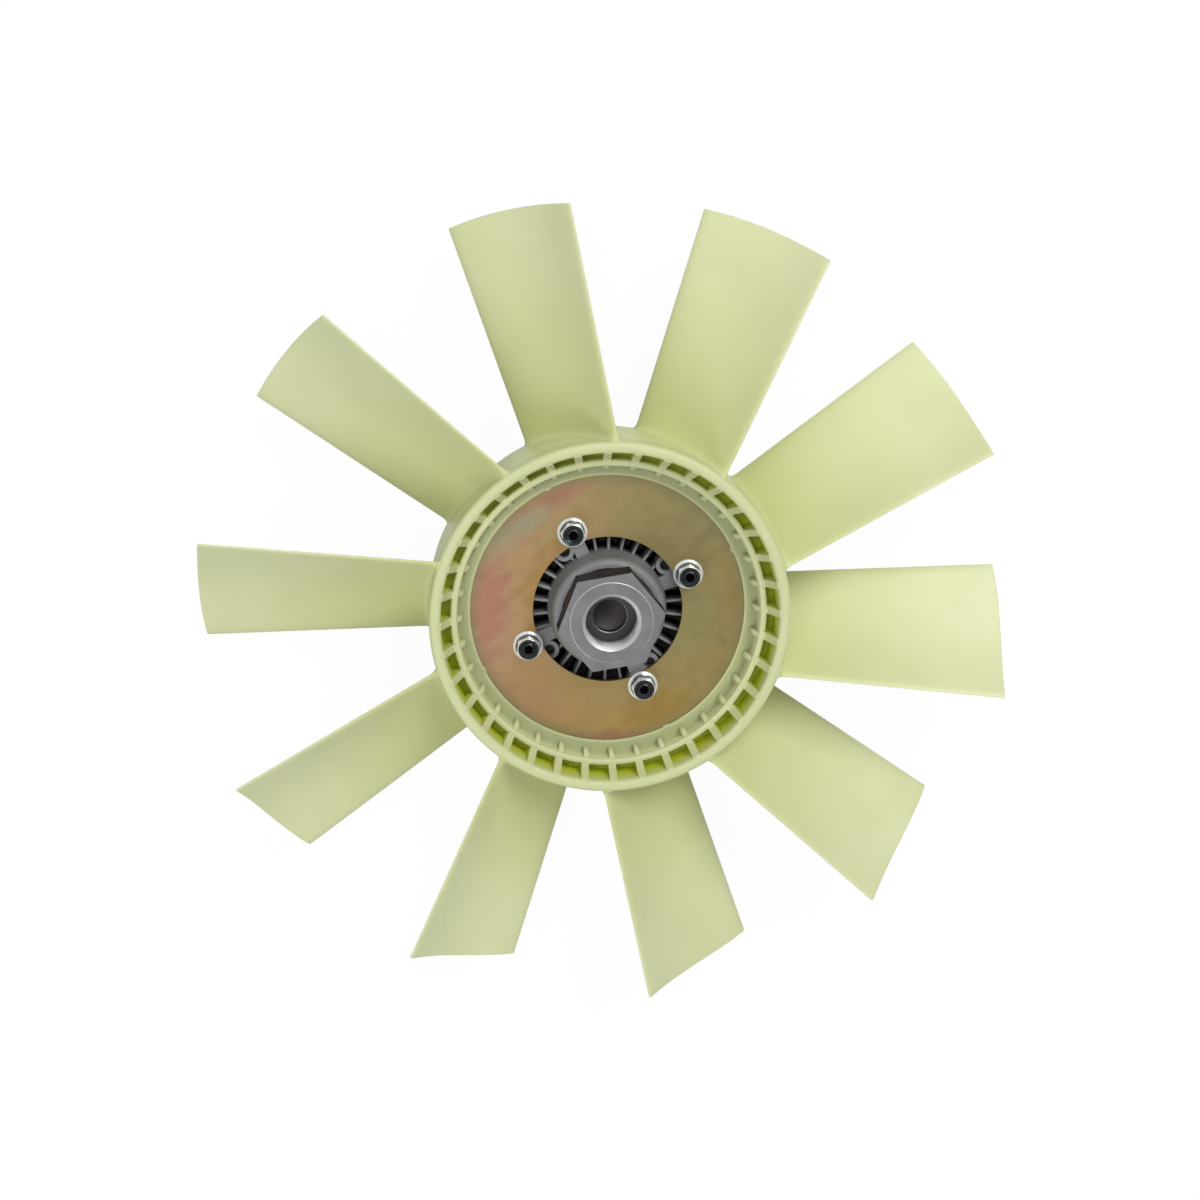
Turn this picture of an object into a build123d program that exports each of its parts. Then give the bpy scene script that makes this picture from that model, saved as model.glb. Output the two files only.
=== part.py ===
from build123d import *

import math
import os

# Engine cooling fan bolted to a viscous clutch. Millimetres, degrees.
# Z is the axis of rotation, +Z points out of the threaded hub towards the engine,
# and z = 0 is the turned seat face of the hub. Angles run anticlockwise from +X.

# Fan moulding, nylon, all one piece with its ten blades
tip_radius = 240.0
blade_count = 10
blade_start_angle = 103.8
drum_radius = 105.7
drum_front_depth = 25.5
drum_back_depth = 26.5
shell_wall = 6.0
rim_chamfer = 2.4
rib_count = 36
rib_start_angle = 1.0
back_rib_count = 20
rib_thickness = 3.4
rib_top_step = 1.5
slot_width = 5.7
band_wall = 4.3
band_rise = 12.0
web_cover = 3.0
pocket_floor_cover = 1.0
lip_width = 8.2
gusset_foot_inset = 2.0
gusset_thickness = 2.0
gusset_top_step = 2.0
disc_engagement = 10.5

# Blade section: chord ends at the drum wall and at the tip, measured across the blade
root_rear_half_width = 22.0
root_front_half_width = 28.9
root_rear_inset = 1.5
root_front_inset = 2.5
tip_half_width = 34.1
tip_rear_inset = 2.0
tip_front_rise = 3.9
root_thickness = 4.2
tip_thickness = 2.8
blade_edge_thickness = 1.6
root_camber = 4.5
tip_camber = 3.5

# Steel mounting disc, its edge moulded into the fan
hub_to_disc = 29.0
disc_thickness = 3.0
disc_hole_radius = 44.5
stud_circle_radius = 52.0
stud_count = 4
stud_start_angle = 23.8
stud_radius = 4.0
stud_hole_clearance = 0.4
stud_grip = 16.0
stud_stand_out = 9.8
stud_socket_af = 4.0
stud_socket_depth = 3.5

# Hexagon flange nuts
nut_af = 13.0
nut_height = 9.3
nut_flange_radius = 8.95
nut_flange_edge = 1.3
nut_flange_cone = 1.4

# Drive shaft: hexagon hub, bearing journal and rotor seat in one turning
hub_hex_af = 55.0
hub_hex_length = 16.5
hub_hex_angle = 9.0
hub_hex_chamfer = 0.8
seat_face_radius = 24.3
seat_face_height = 0.5
thread_bore_radius = 15.2
thread_bore_depth = 15.0
thread_mouth_chamfer = 1.8
pilot_bore_radius = 10.0
pilot_bore_depth = 5.0
drill_point_half_angle = 59.0
shaft_shoulder_radius = 20.5
rotor_seat_radius = 15.0
shaft_end_step = 0.6

# Sealed bearing, 35 x 62 x 20
bearing_bore_radius = 17.5
bearing_width = 20.0
ring_raceway_wall = 3.4
roller_end_space = 4.2
roller_radius = 3.25
roller_count = 10
roller_clearance = 0.1
cage_wall = 1.6
cage_clearance = 0.4
seal_thickness = 1.6
seal_recess = 0.3
seal_lip_clearance = 0.15

# Die-cast clutch housing
hub_running_gap = 1.5
bearing_shoulder = 2.0
bearing_shoulder_rib = 2.8
neck_front_wall = 2.0
neck_radius = 35.5
neck_edge_radius = 4.0
housing_fin_top_drop = 3.0
housing_fin_height = 20.0
housing_fin_count = 30
housing_fin_start_angle = 4.5
housing_fin_thickness = 1.5
housing_web = 5.0
rim_width = 13.0
fin_end_step = 3.0
chamber_radius = 66.0
pad_radius = 9.5
arm_width = 8.0
arm_drop = 1.0
ear_angle = 12.5
ear_circle_radius = 43.0
ear_radius = 5.8
ear_hole_radius = 3.4
ear_hole_depth = 9.0

# Fluid coupling
labyrinth_inset = 14.0
labyrinth_pitch = 9.0
labyrinth_count = 1
ridge_thickness = 3.0
ridge_height = 4.5
working_gap = 0.5
rotor_rim_gap = 1.5
rotor_thickness = 4.0
rotor_hub_wall = 5.5
plate_gap = 1.0
plate_thickness = 1.5

# Front cover with the fluid reservoir
seal_ring_width = 2.0
cover_flange_thickness = 6.0
cover_ledge_width = 6.0
plate_edge_gap = 0.4
reservoir_depth = 9.5
cover_wall = 4.0
cover_fin_height = 10.0
cover_fin_count = 24
cover_fin_thickness = 2.2
cover_fin_inner_radius = 32.0
cover_fin_outer_step = 2.0
cover_fin_flat_step = 9.0
cover_fin_end_drop = 2.0
spindle_boss_radius = 9.0
outer_boss_radius = 7.5
outer_boss_height = 2.0
screw_count = 6
screw_radius = 2.5
screw_head_af = 8.0
screw_head_height = 3.6
screw_engagement = 9.0

# Valve in the reservoir, turned by the bimetal coil
port_circle_radius = 30.0
port_radius = 3.5
port_angle = 60.0
return_hole_radius = 1.6
return_hole_inset = 8.0
return_hole_count = 2
return_hole_angle = 75.0
lever_thickness = 1.2
lever_lobe_radius = 6.0
lever_hub_radius = 7.0
lever_plate_gap = 0.4
spindle_radius = 4.0
spindle_neck_radius = 2.6
spindle_head_radius = 4.2
spindle_head_height = 0.6
spindle_flange_radius = 6.0
spindle_flange_height = 1.2
spindle_running_clearance = 0.05
spindle_end_gap = 0.3
spindle_slot_width = 1.4
spindle_seal_groove_depth = 1.2
spindle_seal_width = 2.4
spindle_seal_depth_in_boss = 5.0
coil_strip_thickness = 1.0
coil_strip_width = 6.0
coil_pitch = 5.6
coil_half_turns = 4
coil_floor_gap = 0.8
bracket_thickness = 1.2
bracket_width = 9.0
bracket_foot_length = 8.5
bracket_screw_radius = 1.5
bracket_screw_head_radius = 2.8
bracket_screw_head_height = 1.6
bracket_screw_engagement = 2.8
plate_rivet_radius = 1.5
plate_rivet_head_radius = 2.6
plate_rivet_head_height = 0.7
plate_rivet_grip = 3.0
plate_rivet_angle = 15.0
plate_rivet_count = 3

thread_clearance = 0.03

# How far a cutting tool runs past the face that it opens, and a rib sinks into its floor
cut_overshoot = 1.0

# Heights along the axis, worked out from the sizes above
disc_front_z = -hub_to_disc
disc_back_z = disc_front_z - disc_thickness
drum_front_z = disc_front_z + drum_front_depth
drum_back_z = disc_front_z - drum_back_depth
hex_back_z = -seat_face_height - hub_hex_length
neck_front_z = hex_back_z - hub_running_gap
bearing_front_z = neck_front_z - bearing_shoulder
bearing_back_z = bearing_front_z - bearing_width
fin_top_z = disc_back_z - housing_fin_top_drop
fin_floor_z = fin_top_z - housing_fin_height
web_back_z = fin_floor_z - housing_web
rotor_top_z = web_back_z - ridge_height - working_gap
rotor_back_z = rotor_top_z - rotor_thickness
plate_top_z = rotor_back_z - plate_gap
plate_back_z = plate_top_z - plate_thickness
cover_top_z = plate_top_z
flange_back_z = cover_top_z - cover_flange_thickness
reservoir_floor_z = plate_back_z - reservoir_depth
cover_floor_z = reservoir_floor_z - cover_wall
cover_bottom_z = cover_floor_z - cover_fin_height

# Radii shared by pieces that fit each other
shell_inner_radius = drum_radius - shell_wall
band_outer_radius = shell_inner_radius - slot_width
band_inner_radius = band_outer_radius - band_wall
lip_radius = band_inner_radius - lip_width
disc_radius = lip_radius + disc_engagement
inner_race_radius = bearing_bore_radius + ring_raceway_wall
outer_race_radius = inner_race_radius + 2 * (roller_radius + roller_clearance)
bearing_outer_radius = outer_race_radius + ring_raceway_wall
bearing_shoulder_radius = bearing_outer_radius - bearing_shoulder_rib
roller_pitch_radius = (outer_race_radius + inner_race_radius) / 2
clutch_radius = chamber_radius + rim_width
screw_circle_radius = clutch_radius - rim_width / 2
cover_fin_flat_radius = clutch_radius - cover_fin_flat_step
labyrinth_first_radius = chamber_radius - labyrinth_inset
rotor_radius = chamber_radius - rotor_rim_gap
plate_radius = chamber_radius - plate_edge_gap
reservoir_radius = chamber_radius - cover_ledge_width


def revolved(points):
    """Solid of revolution about Z from a closed outline of (radius, z) points."""
    return revolve(make_face(Plane.XZ * Polyline(*points, close=True)), Axis.Z)


def ring(inner, outer, low, high):
    """Flat ring about Z between two heights."""
    return revolved([(inner, low), (outer, low), (outer, high), (inner, high)])


def rod(radius, low, high):
    """Round bar on the Z axis between two heights."""
    return Pos(0, 0, (low + high) / 2) * Cylinder(radius, high - low)


def bar(x_low, x_high, width, low, high):
    """Straight rib along +X, centred on the XZ plane."""
    size = (x_high - x_low, width, high - low)
    return Pos((x_low + x_high) / 2, 0, (low + high) / 2) * Box(*size)


def upright(points, thickness):
    """Flat plate standing in the XZ plane, from a closed outline of (x, z) points."""
    return extrude(make_face(Plane.XZ * Polyline(*points, close=True)), thickness / 2, both=True)


def hexagon(across_flats, low, high):
    """Hexagonal prism on the Z axis with one corner on +X."""
    outline = RegularPolygon(across_flats / 2, 6, major_radius=False)
    return Pos(0, 0, low) * extrude(outline, high - low)


def around(piece, count, start_angle=0.0):
    """Evenly spaced copies of a piece about the Z axis."""
    step = 360.0 / count
    return [Rot(0, 0, start_angle + i * step) * piece for i in range(count)]


def group(pieces):
    """One node made of separate solids."""
    return Compound(children=list(pieces))


def along(start, end, share):
    """Value part of the way from start to end."""
    return start + (end - start) * share


def blade_outline(x):
    """Closed cambered section of a blade in the plane at distance x from the axis."""
    share = (x - drum_radius) / (tip_radius - drum_radius)
    rear_y = along(root_rear_half_width, tip_half_width, share)
    rear_z = drum_back_z + along(root_rear_inset, tip_rear_inset, share)
    front_y = -along(root_front_half_width, tip_half_width, share)
    front_z = drum_front_z + along(-root_front_inset, tip_front_rise, share)
    camber = along(root_camber, tip_camber, share)
    belly = along(root_thickness, tip_thickness, share) / 2
    edge = blade_edge_thickness / 2
    chord = math.hypot(front_y - rear_y, front_z - rear_z)
    slope = math.degrees(math.atan2(front_z - rear_z, front_y - rear_y))
    section = Plane((x, 0, 0), x_dir=(0, 1, 0), z_dir=(1, 0, 0))
    place = section * Pos((front_y + rear_y) / 2, (front_z + rear_z) / 2) * Rot(0, 0, slope)
    half = chord / 2
    outline = [
        ThreePointArc((-half, -edge), (0, camber - belly), (half, -edge)),
        Line((half, -edge), (half, edge)),
        ThreePointArc((half, edge), (0, camber + belly), (-half, edge)),
        Line((-half, edge), (-half, -edge)),
    ]
    return place * make_face(outline)


def blade():
    """Twisted blade between the middle of the drum wall and the tip circle."""
    root_cut = drum_radius - shell_wall / 2
    widest = max(root_front_half_width, root_rear_half_width)
    start_x = math.sqrt(root_cut**2 - widest**2) - shell_wall / 2
    end_x = tip_radius + shell_wall / 2
    raw = loft([blade_outline(start_x), blade_outline(end_x)], ruled=True)
    low = drum_back_z - drum_back_depth
    high = drum_front_z + drum_front_depth
    return raw & ring(root_cut, tip_radius, low, high)


def drum_body():
    """Outer shell, web, inner band and lip of the drum, turned about the axis."""
    web_front = disc_front_z + web_cover
    web_back = disc_back_z - web_cover
    band_front = disc_front_z + band_rise
    band_back = disc_back_z - band_rise
    rim_out = drum_radius - rim_chamfer
    front = [
        (drum_radius, drum_front_z - rim_chamfer),
        (rim_out, drum_front_z),
        (shell_inner_radius, drum_front_z),
        (shell_inner_radius, web_front),
        (band_outer_radius, web_front),
        (band_outer_radius, band_front),
        (band_inner_radius, band_front),
        (band_inner_radius, disc_front_z + pocket_floor_cover),
        (lip_radius, disc_front_z + pocket_floor_cover),
        (lip_radius, disc_front_z),
        (disc_radius, disc_front_z),
    ]
    back = [
        (disc_radius, disc_back_z),
        (lip_radius, disc_back_z),
        (lip_radius, web_back),
        (band_inner_radius, web_back),
        (band_inner_radius, band_back),
        (band_outer_radius, band_back),
        (band_outer_radius, web_back),
        (shell_inner_radius, web_back),
        (shell_inner_radius, drum_back_z),
        (drum_radius, drum_back_z),
    ]
    return revolved(front + back)


def drum_rib(web_z, band_z, rim_z):
    """Radial rib across the slot ring, its top sloping from the rim to the band."""
    sink = band_wall / 2
    outline = [
        (band_outer_radius - sink, web_z),
        (shell_inner_radius + sink, web_z),
        (shell_inner_radius + sink, rim_z),
        (shell_inner_radius, rim_z),
        (band_outer_radius, band_z),
        (band_outer_radius - sink, band_z),
    ]
    return upright(outline, rib_thickness)


def drum_gusset():
    """Small triangular stiffener between the band and the lip."""
    sink = band_wall / 2
    floor_z = disc_front_z + pocket_floor_cover
    top_z = disc_front_z + band_rise - gusset_top_step
    outline = [
        (lip_radius + gusset_foot_inset, floor_z),
        (band_inner_radius + sink, floor_z),
        (band_inner_radius + sink, top_z),
        (band_inner_radius, top_z),
    ]
    return upright(outline, gusset_thickness)


def fan():
    """Ten-blade fan moulding with its ribbed drum."""
    front_rib = drum_rib(
        disc_front_z + web_cover,
        disc_front_z + band_rise,
        drum_front_z - rib_top_step,
    )
    back_rib = drum_rib(
        disc_back_z - web_cover,
        disc_back_z - band_rise,
        drum_back_z + rib_top_step,
    )
    pieces = around(front_rib, rib_count, rib_start_angle)
    pieces += around(drum_gusset(), rib_count, rib_start_angle)
    pieces += around(back_rib, back_rib_count, blade_start_angle)
    pieces += around(blade(), blade_count, blade_start_angle)
    return drum_body().fuse(*pieces)


def at_studs(piece):
    """Copies of a piece at the stud places."""
    return around(Pos(stud_circle_radius, 0, 0) * piece, stud_count, stud_start_angle)


def mounting_disc():
    """Flat steel disc with a centre hole and four stud holes."""
    hole = rod(stud_radius + stud_hole_clearance, disc_back_z - cut_overshoot, disc_front_z + cut_overshoot)
    return ring(disc_hole_radius, disc_radius, disc_back_z, disc_front_z) - at_studs(hole)


def disc_studs():
    """Studs screwed into the housing pads, each with a hexagon socket in its end."""
    top = disc_front_z + stud_stand_out
    stud = rod(stud_radius, disc_back_z - stud_grip, top)
    stud -= hexagon(stud_socket_af, top - stud_socket_depth, top + cut_overshoot)
    return group(at_studs(stud))


def flange_nuts():
    """Hexagon nuts on a round sloping flange."""
    top = disc_front_z + nut_height
    flange_top = disc_front_z + nut_flange_edge
    bore = stud_radius + thread_clearance
    flange = revolved(
        [
            (bore, disc_front_z),
            (nut_flange_radius, disc_front_z),
            (nut_flange_radius, flange_top),
            (nut_af / math.sqrt(3), flange_top + nut_flange_cone),
            (bore, flange_top + nut_flange_cone),
        ]
    )
    nut = flange + hexagon(nut_af, flange_top + nut_flange_cone, top)
    nut -= rod(bore, disc_front_z - cut_overshoot, top + cut_overshoot)
    return group(at_studs(nut))


def drive_shaft():
    """Hexagon hub with a blind threaded bore, journal and rotor seat."""
    head = Rot(0, 0, hub_hex_angle) * hexagon(hub_hex_af, hex_back_z, -seat_face_height)
    corner = hub_hex_af / math.sqrt(3)
    crown = revolved(
        [
            (0, hex_back_z),
            (corner, hex_back_z),
            (corner, -seat_face_height - hub_hex_chamfer),
            (corner - 2 * hub_hex_chamfer, -seat_face_height),
            (0, -seat_face_height),
        ]
    )
    shaft_end = rotor_back_z + shaft_end_step
    turning = revolved(
        [
            (0, shaft_end),
            (rotor_seat_radius, shaft_end),
            (rotor_seat_radius, bearing_back_z),
            (bearing_bore_radius, bearing_back_z),
            (bearing_bore_radius, bearing_front_z),
            (shaft_shoulder_radius, bearing_front_z),
            (shaft_shoulder_radius, hex_back_z),
            (seat_face_radius, hex_back_z),
            (seat_face_radius, 0),
            (0, 0),
        ]
    )
    thread_end = -thread_bore_depth
    pilot_end = thread_end - pilot_bore_depth
    drill_tip = pilot_end - pilot_bore_radius / math.tan(math.radians(drill_point_half_angle))
    bore = revolved(
        [
            (0, cut_overshoot),
            (thread_bore_radius + thread_mouth_chamfer, cut_overshoot),
            (thread_bore_radius + thread_mouth_chamfer, 0),
            (thread_bore_radius, -thread_mouth_chamfer),
            (thread_bore_radius, thread_end),
            (pilot_bore_radius, thread_end),
            (pilot_bore_radius, pilot_end),
            (0, drill_tip),
        ]
    )
    return (head & crown) + turning - bore


def bearing_outer_ring():
    """Outer bearing ring with a plain raceway."""
    return ring(outer_race_radius, bearing_outer_radius, bearing_back_z, bearing_front_z)


def bearing_inner_ring():
    """Inner bearing ring with a plain raceway."""
    return ring(bearing_bore_radius, inner_race_radius, bearing_back_z, bearing_front_z)


def roller_length():
    """Length of a rolling element between the seals."""
    return bearing_width - 2 * roller_end_space


def bearing_rollers():
    """Rolling elements of the bearing."""
    middle = (bearing_front_z + bearing_back_z) / 2
    half = roller_length() / 2
    roller = Pos(roller_pitch_radius, 0, 0) * rod(roller_radius, middle - half, middle + half)
    return group(around(roller, roller_count))


def bearing_cage():
    """Cage ring with a window for each rolling element."""
    half = roller_length() / 2 + cage_wall
    middle = (bearing_front_z + bearing_back_z) / 2
    inner = roller_pitch_radius - cage_wall / 2
    outer = roller_pitch_radius + cage_wall / 2
    window_width = 2 * (roller_radius + cage_clearance)
    window_half = roller_length() / 2 + cage_clearance
    reach = roller_radius + cage_clearance
    window = bar(
        roller_pitch_radius - reach,
        roller_pitch_radius + reach,
        window_width,
        middle - window_half,
        middle + window_half,
    )
    return ring(inner, outer, middle - half, middle + half) - around(window, roller_count)


def bearing_seal(low):
    """Rubber seal disc pressed into the outer ring, its lip just clear of the inner one."""
    inner = inner_race_radius + seal_lip_clearance
    return ring(inner, outer_race_radius, low, low + seal_thickness)


def bearing_front_seal():
    """Seal on the hub side."""
    return bearing_seal(bearing_front_z - seal_recess - seal_thickness)


def bearing_rear_seal():
    """Seal on the rotor side."""
    return bearing_seal(bearing_back_z + seal_recess)


def ridge_radius(i):
    """Middle radius of one labyrinth ridge, the rotor's and the housing's in turn."""
    return labyrinth_first_radius + i * labyrinth_pitch / 2


def ridge(i, low, high):
    """One ring-shaped labyrinth ridge."""
    middle = ridge_radius(i)
    return ring(middle - ridge_thickness / 2, middle + ridge_thickness / 2, low, high)


def rotor_disc():
    """Drive disc with its hub and labyrinth ridges."""
    hub_radius = rotor_seat_radius + rotor_hub_wall
    body = revolved(
        [
            (rotor_seat_radius, rotor_back_z),
            (rotor_radius, rotor_back_z),
            (rotor_radius, rotor_top_z),
            (hub_radius, rotor_top_z),
            (hub_radius, bearing_back_z),
            (rotor_seat_radius, bearing_back_z),
        ]
    )
    for i in range(labyrinth_count):
        body += ridge(2 * i, rotor_top_z - rotor_thickness / 2, rotor_top_z + ridge_height)
    return body


def housing_body():
    """Neck, web and rim of the housing, with the bearing seat and a rounded neck."""
    body = revolved(
        [
            (bearing_shoulder_radius, neck_front_z),
            (bearing_outer_radius + neck_front_wall, neck_front_z),
            (neck_radius, fin_top_z),
            (neck_radius, fin_floor_z),
            (clutch_radius, fin_floor_z),
            (clutch_radius, plate_top_z),
            (chamber_radius, plate_top_z),
            (chamber_radius, web_back_z),
            (bearing_outer_radius, web_back_z),
            (bearing_outer_radius, bearing_front_z),
            (bearing_shoulder_radius, bearing_front_z),
        ]
    )
    neck_edges = body.edges().filter_by(GeomType.CIRCLE).group_by(Axis.Z)[-1]
    return fillet(neck_edges.sort_by(SortBy.RADIUS)[-1], neck_edge_radius)


def clutch_housing():
    """Die-cast housing with cooling fins, stud pads and labyrinth ridges."""
    body = housing_body()
    for i in range(labyrinth_count):
        body += ridge(2 * i + 1, rotor_top_z + working_gap, web_back_z + housing_web / 2)
    fin_inner = bearing_outer_radius + neck_front_wall
    root_z = fin_floor_z - cut_overshoot
    fin = bar(fin_inner, clutch_radius - fin_end_step, housing_fin_thickness, root_z, fin_top_z)
    fins = around(fin, housing_fin_count, housing_fin_start_angle)
    pads = at_studs(rod(pad_radius, root_z, disc_back_z))
    arm_top = disc_back_z - arm_drop
    arm = bar(fin_inner, stud_circle_radius, arm_width, root_z, arm_top)
    arms = around(arm, stud_count, stud_start_angle)
    ear_start_angle = stud_start_angle + ear_angle
    ear = Pos(ear_circle_radius, 0, 0) * rod(ear_radius, root_z, arm_top)
    ears = around(ear, stud_count, ear_start_angle)
    body = body.fuse(*fins, *pads, *arms, *ears)
    ear_hole = rod(ear_hole_radius, arm_top - ear_hole_depth, arm_top + cut_overshoot)
    holes = around(Pos(ear_circle_radius, 0, 0) * ear_hole, stud_count, ear_start_angle)
    stud_hole_radius = stud_radius + thread_clearance
    holes += at_studs(rod(stud_hole_radius, disc_back_z - stud_grip, disc_back_z + cut_overshoot))
    screw_hole_radius = screw_radius + thread_clearance
    screw_hole = rod(screw_hole_radius, plate_top_z - cut_overshoot, plate_top_z + screw_engagement)
    holes += at_screws(screw_hole)
    return body.cut(*holes)


def at_screws(piece):
    """Copies of a piece at the cover screw places."""
    return around(Pos(screw_circle_radius, 0, 0) * piece, screw_count)


def cover_seal():
    """Flat rubber ring on the cover's ledge, pressed against the housing."""
    return ring(chamber_radius, chamber_radius + seal_ring_width, plate_back_z, plate_top_z)


def cover_fin():
    """One radial cooling fin of the cover."""
    outer = clutch_radius - cover_fin_outer_step
    wall_middle = chamber_radius - cover_wall / 2
    outline = [
        (cover_fin_inner_radius, cover_floor_z + cover_wall / 2),
        (cover_fin_inner_radius, cover_bottom_z),
        (cover_fin_flat_radius, cover_bottom_z),
        (outer, flange_back_z - cover_fin_end_drop),
        (outer, flange_back_z + cover_flange_thickness / 2),
        (wall_middle, flange_back_z + cover_flange_thickness / 2),
        (wall_middle, cover_floor_z + cover_wall / 2),
    ]
    return upright(outline, cover_fin_thickness)


def cover_body():
    """Dished cover with the reservoir, the plate ledge and the spindle boss."""
    bore = spindle_radius + spindle_running_clearance
    seal_outer = chamber_radius + seal_ring_width
    return revolved(
        [
            (bore, cover_floor_z - outer_boss_height),
            (outer_boss_radius, cover_floor_z - outer_boss_height),
            (outer_boss_radius, cover_floor_z),
            (chamber_radius, cover_floor_z),
            (chamber_radius, flange_back_z),
            (clutch_radius, flange_back_z),
            (clutch_radius, cover_top_z),
            (seal_outer, cover_top_z),
            (seal_outer, plate_back_z),
            (reservoir_radius, plate_back_z),
            (reservoir_radius, reservoir_floor_z),
            (spindle_boss_radius, reservoir_floor_z),
            (spindle_boss_radius, spindle_boss_top_z()),
            (bore, spindle_boss_top_z()),
        ]
    )


def front_cover():
    """Die-cast cover with radial cooling fins."""
    fins = around(cover_fin(), cover_fin_count, 180.0 / cover_fin_count)
    body = cover_body().fuse(*fins)
    screw_hole_radius = screw_radius + thread_clearance
    screw_hole = rod(screw_hole_radius, flange_back_z - cut_overshoot, cover_top_z + cut_overshoot)
    rivet_foot = plate_back_z - plate_rivet_grip
    rivet_hole = rod(plate_rivet_radius, rivet_foot, plate_back_z + cut_overshoot)
    holes = at_screws(screw_hole) + at_rivets(rivet_hole)
    screw_bottom = cover_floor_z + bracket_screw_engagement
    hole = rod(bracket_screw_radius, cover_floor_z - cut_overshoot, screw_bottom)
    holes += [Pos(bracket_screw_x(), 0, 0) * hole]
    return body.cut(*holes)


def cover_screws():
    """Hexagon screws that hold the cover to the housing."""
    screw = rod(screw_radius, flange_back_z, plate_top_z + screw_engagement)
    screw += hexagon(screw_head_af, flange_back_z - screw_head_height, flange_back_z)
    return group(at_screws(screw))


def rivet_circle_radius():
    """Radius on which the separator plate is riveted to the cover ledge."""
    return (reservoir_radius + plate_radius) / 2


def at_rivets(piece):
    """Copies of a piece at the plate rivet places."""
    place = Pos(rivet_circle_radius(), 0, 0)
    return around(place * piece, plate_rivet_count, plate_rivet_angle)


def separator_plate():
    """Steel plate that closes the reservoir, with its fill port and return holes."""
    low = plate_back_z - 1
    high = plate_top_z + 1
    plate = rod(plate_radius, plate_back_z, plate_top_z)
    port = Pos(port_circle_radius, 0, 0) * rod(port_radius, low, high)
    back_flow = Pos(chamber_radius - return_hole_inset, 0, 0) * rod(return_hole_radius, low, high)
    holes = [Rot(0, 0, port_angle) * port]
    holes += around(back_flow, return_hole_count, return_hole_angle)
    holes += at_rivets(rod(plate_rivet_radius, low, high))
    return plate.cut(*holes)


def plate_rivets():
    """Rivets that fix the separator plate to the cover."""
    rivet = rod(plate_rivet_radius, plate_back_z - plate_rivet_grip, plate_top_z)
    rivet += rod(plate_rivet_head_radius, plate_top_z, plate_top_z + plate_rivet_head_height)
    return group(at_rivets(rivet))


def lever_top_z():
    """Upper face of the valve lever, just under the separator plate."""
    return plate_back_z - lever_plate_gap - spindle_head_height


def spindle_boss_top_z():
    """Top of the boss inside the reservoir, on which the spindle flange turns."""
    return lever_top_z() - lever_thickness - spindle_flange_height - spindle_end_gap


def valve_lever():
    """Flat lever whose round end covers the fill port when the fluid is cold."""
    top = lever_top_z()
    low = top - lever_thickness
    arm = bar(0, port_circle_radius, lever_lobe_radius, low, top)
    lever = arm + Pos(port_circle_radius, 0, 0) * rod(lever_lobe_radius, low, top)
    lever += rod(lever_hub_radius, low, top)
    lever -= rod(spindle_neck_radius, low - cut_overshoot, top + cut_overshoot)
    return Rot(0, 0, port_angle) * lever


def spindle_end_z():
    """Outer end of the valve spindle, flush with the coil's edge."""
    return cover_floor_z - outer_boss_height - coil_floor_gap - coil_strip_width


def valve_spindle():
    """Stepped spindle with a riveted head, a seal groove and a slot for the coil."""
    lever_top = lever_top_z()
    lever_back = lever_top - lever_thickness
    flange_back = lever_back - spindle_flange_height
    seal_top = spindle_boss_top_z() - spindle_seal_depth_in_boss
    seal_back = seal_top - spindle_seal_width
    groove = spindle_radius - spindle_seal_groove_depth
    end = spindle_end_z()
    spindle = revolved(
        [
            (0, end),
            (spindle_radius, end),
            (spindle_radius, seal_back),
            (groove, seal_back),
            (groove, seal_top),
            (spindle_radius, seal_top),
            (spindle_radius, flange_back),
            (spindle_flange_radius, flange_back),
            (spindle_flange_radius, lever_back),
            (spindle_neck_radius, lever_back),
            (spindle_neck_radius, lever_top),
            (spindle_head_radius, lever_top),
            (spindle_head_radius, lever_top + spindle_head_height),
            (0, lever_top + spindle_head_height),
        ]
    )
    reach = spindle_radius + cut_overshoot
    slot = bar(-reach, reach, spindle_slot_width, end - cut_overshoot, end + coil_strip_width)
    return spindle - slot


def spindle_seal():
    """Square-section ring in the spindle groove."""
    top = spindle_boss_top_z() - spindle_seal_depth_in_boss
    inner = spindle_radius - spindle_seal_groove_depth
    return ring(inner, spindle_radius, top - spindle_seal_width, top)


def coil_start_radius():
    """Radius at which the coil leaves the spindle."""
    return spindle_radius + coil_pitch / 2


def coil_end_radius():
    """Radius of the coil's outer end, which meets the bracket."""
    return coil_start_radius() + coil_half_turns * coil_pitch / 2


def coil_path(offset):
    """Half circles of growing radius that make one wall of the spiral."""
    arcs = []
    radius = coil_start_radius()
    start_x = radius
    for i in range(coil_half_turns):
        way = 1 if i % 2 == 0 else -1
        end_x = -way * (radius + coil_pitch / 2)
        centre = (start_x + end_x) / 2
        reach = abs(start_x - end_x) / 2 + offset
        left = centre - way * reach
        right = centre + way * reach
        arcs.append(((right, 0), (centre, way * reach), (left, 0)))
        radius += coil_pitch / 2
        start_x = end_x
    return arcs


def bimetal_coil():
    """Bimetal strip wound in a flat spiral, its inner tang in the spindle slot."""
    half = coil_strip_thickness / 2
    outer = coil_path(half)
    inner = coil_path(-half)
    edges = [ThreePointArc(*points) for points in outer]
    edges.append(Line(outer[-1][2], inner[-1][2]))
    edges += [ThreePointArc(*reversed(points)) for points in reversed(inner)]
    edges.append(Line(inner[0][0], outer[0][0]))
    low = spindle_end_z()
    spiral = Pos(0, 0, low) * extrude(make_face(edges), coil_strip_width)
    tang_end = coil_start_radius() + half
    tang = bar(-spindle_radius, tang_end, coil_strip_thickness, low, low + coil_strip_width)
    return spiral + tang


def bracket_wall_x():
    """Inner face of the bracket's upright, against the coil's end."""
    return coil_end_radius() + coil_strip_thickness / 2


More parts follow.
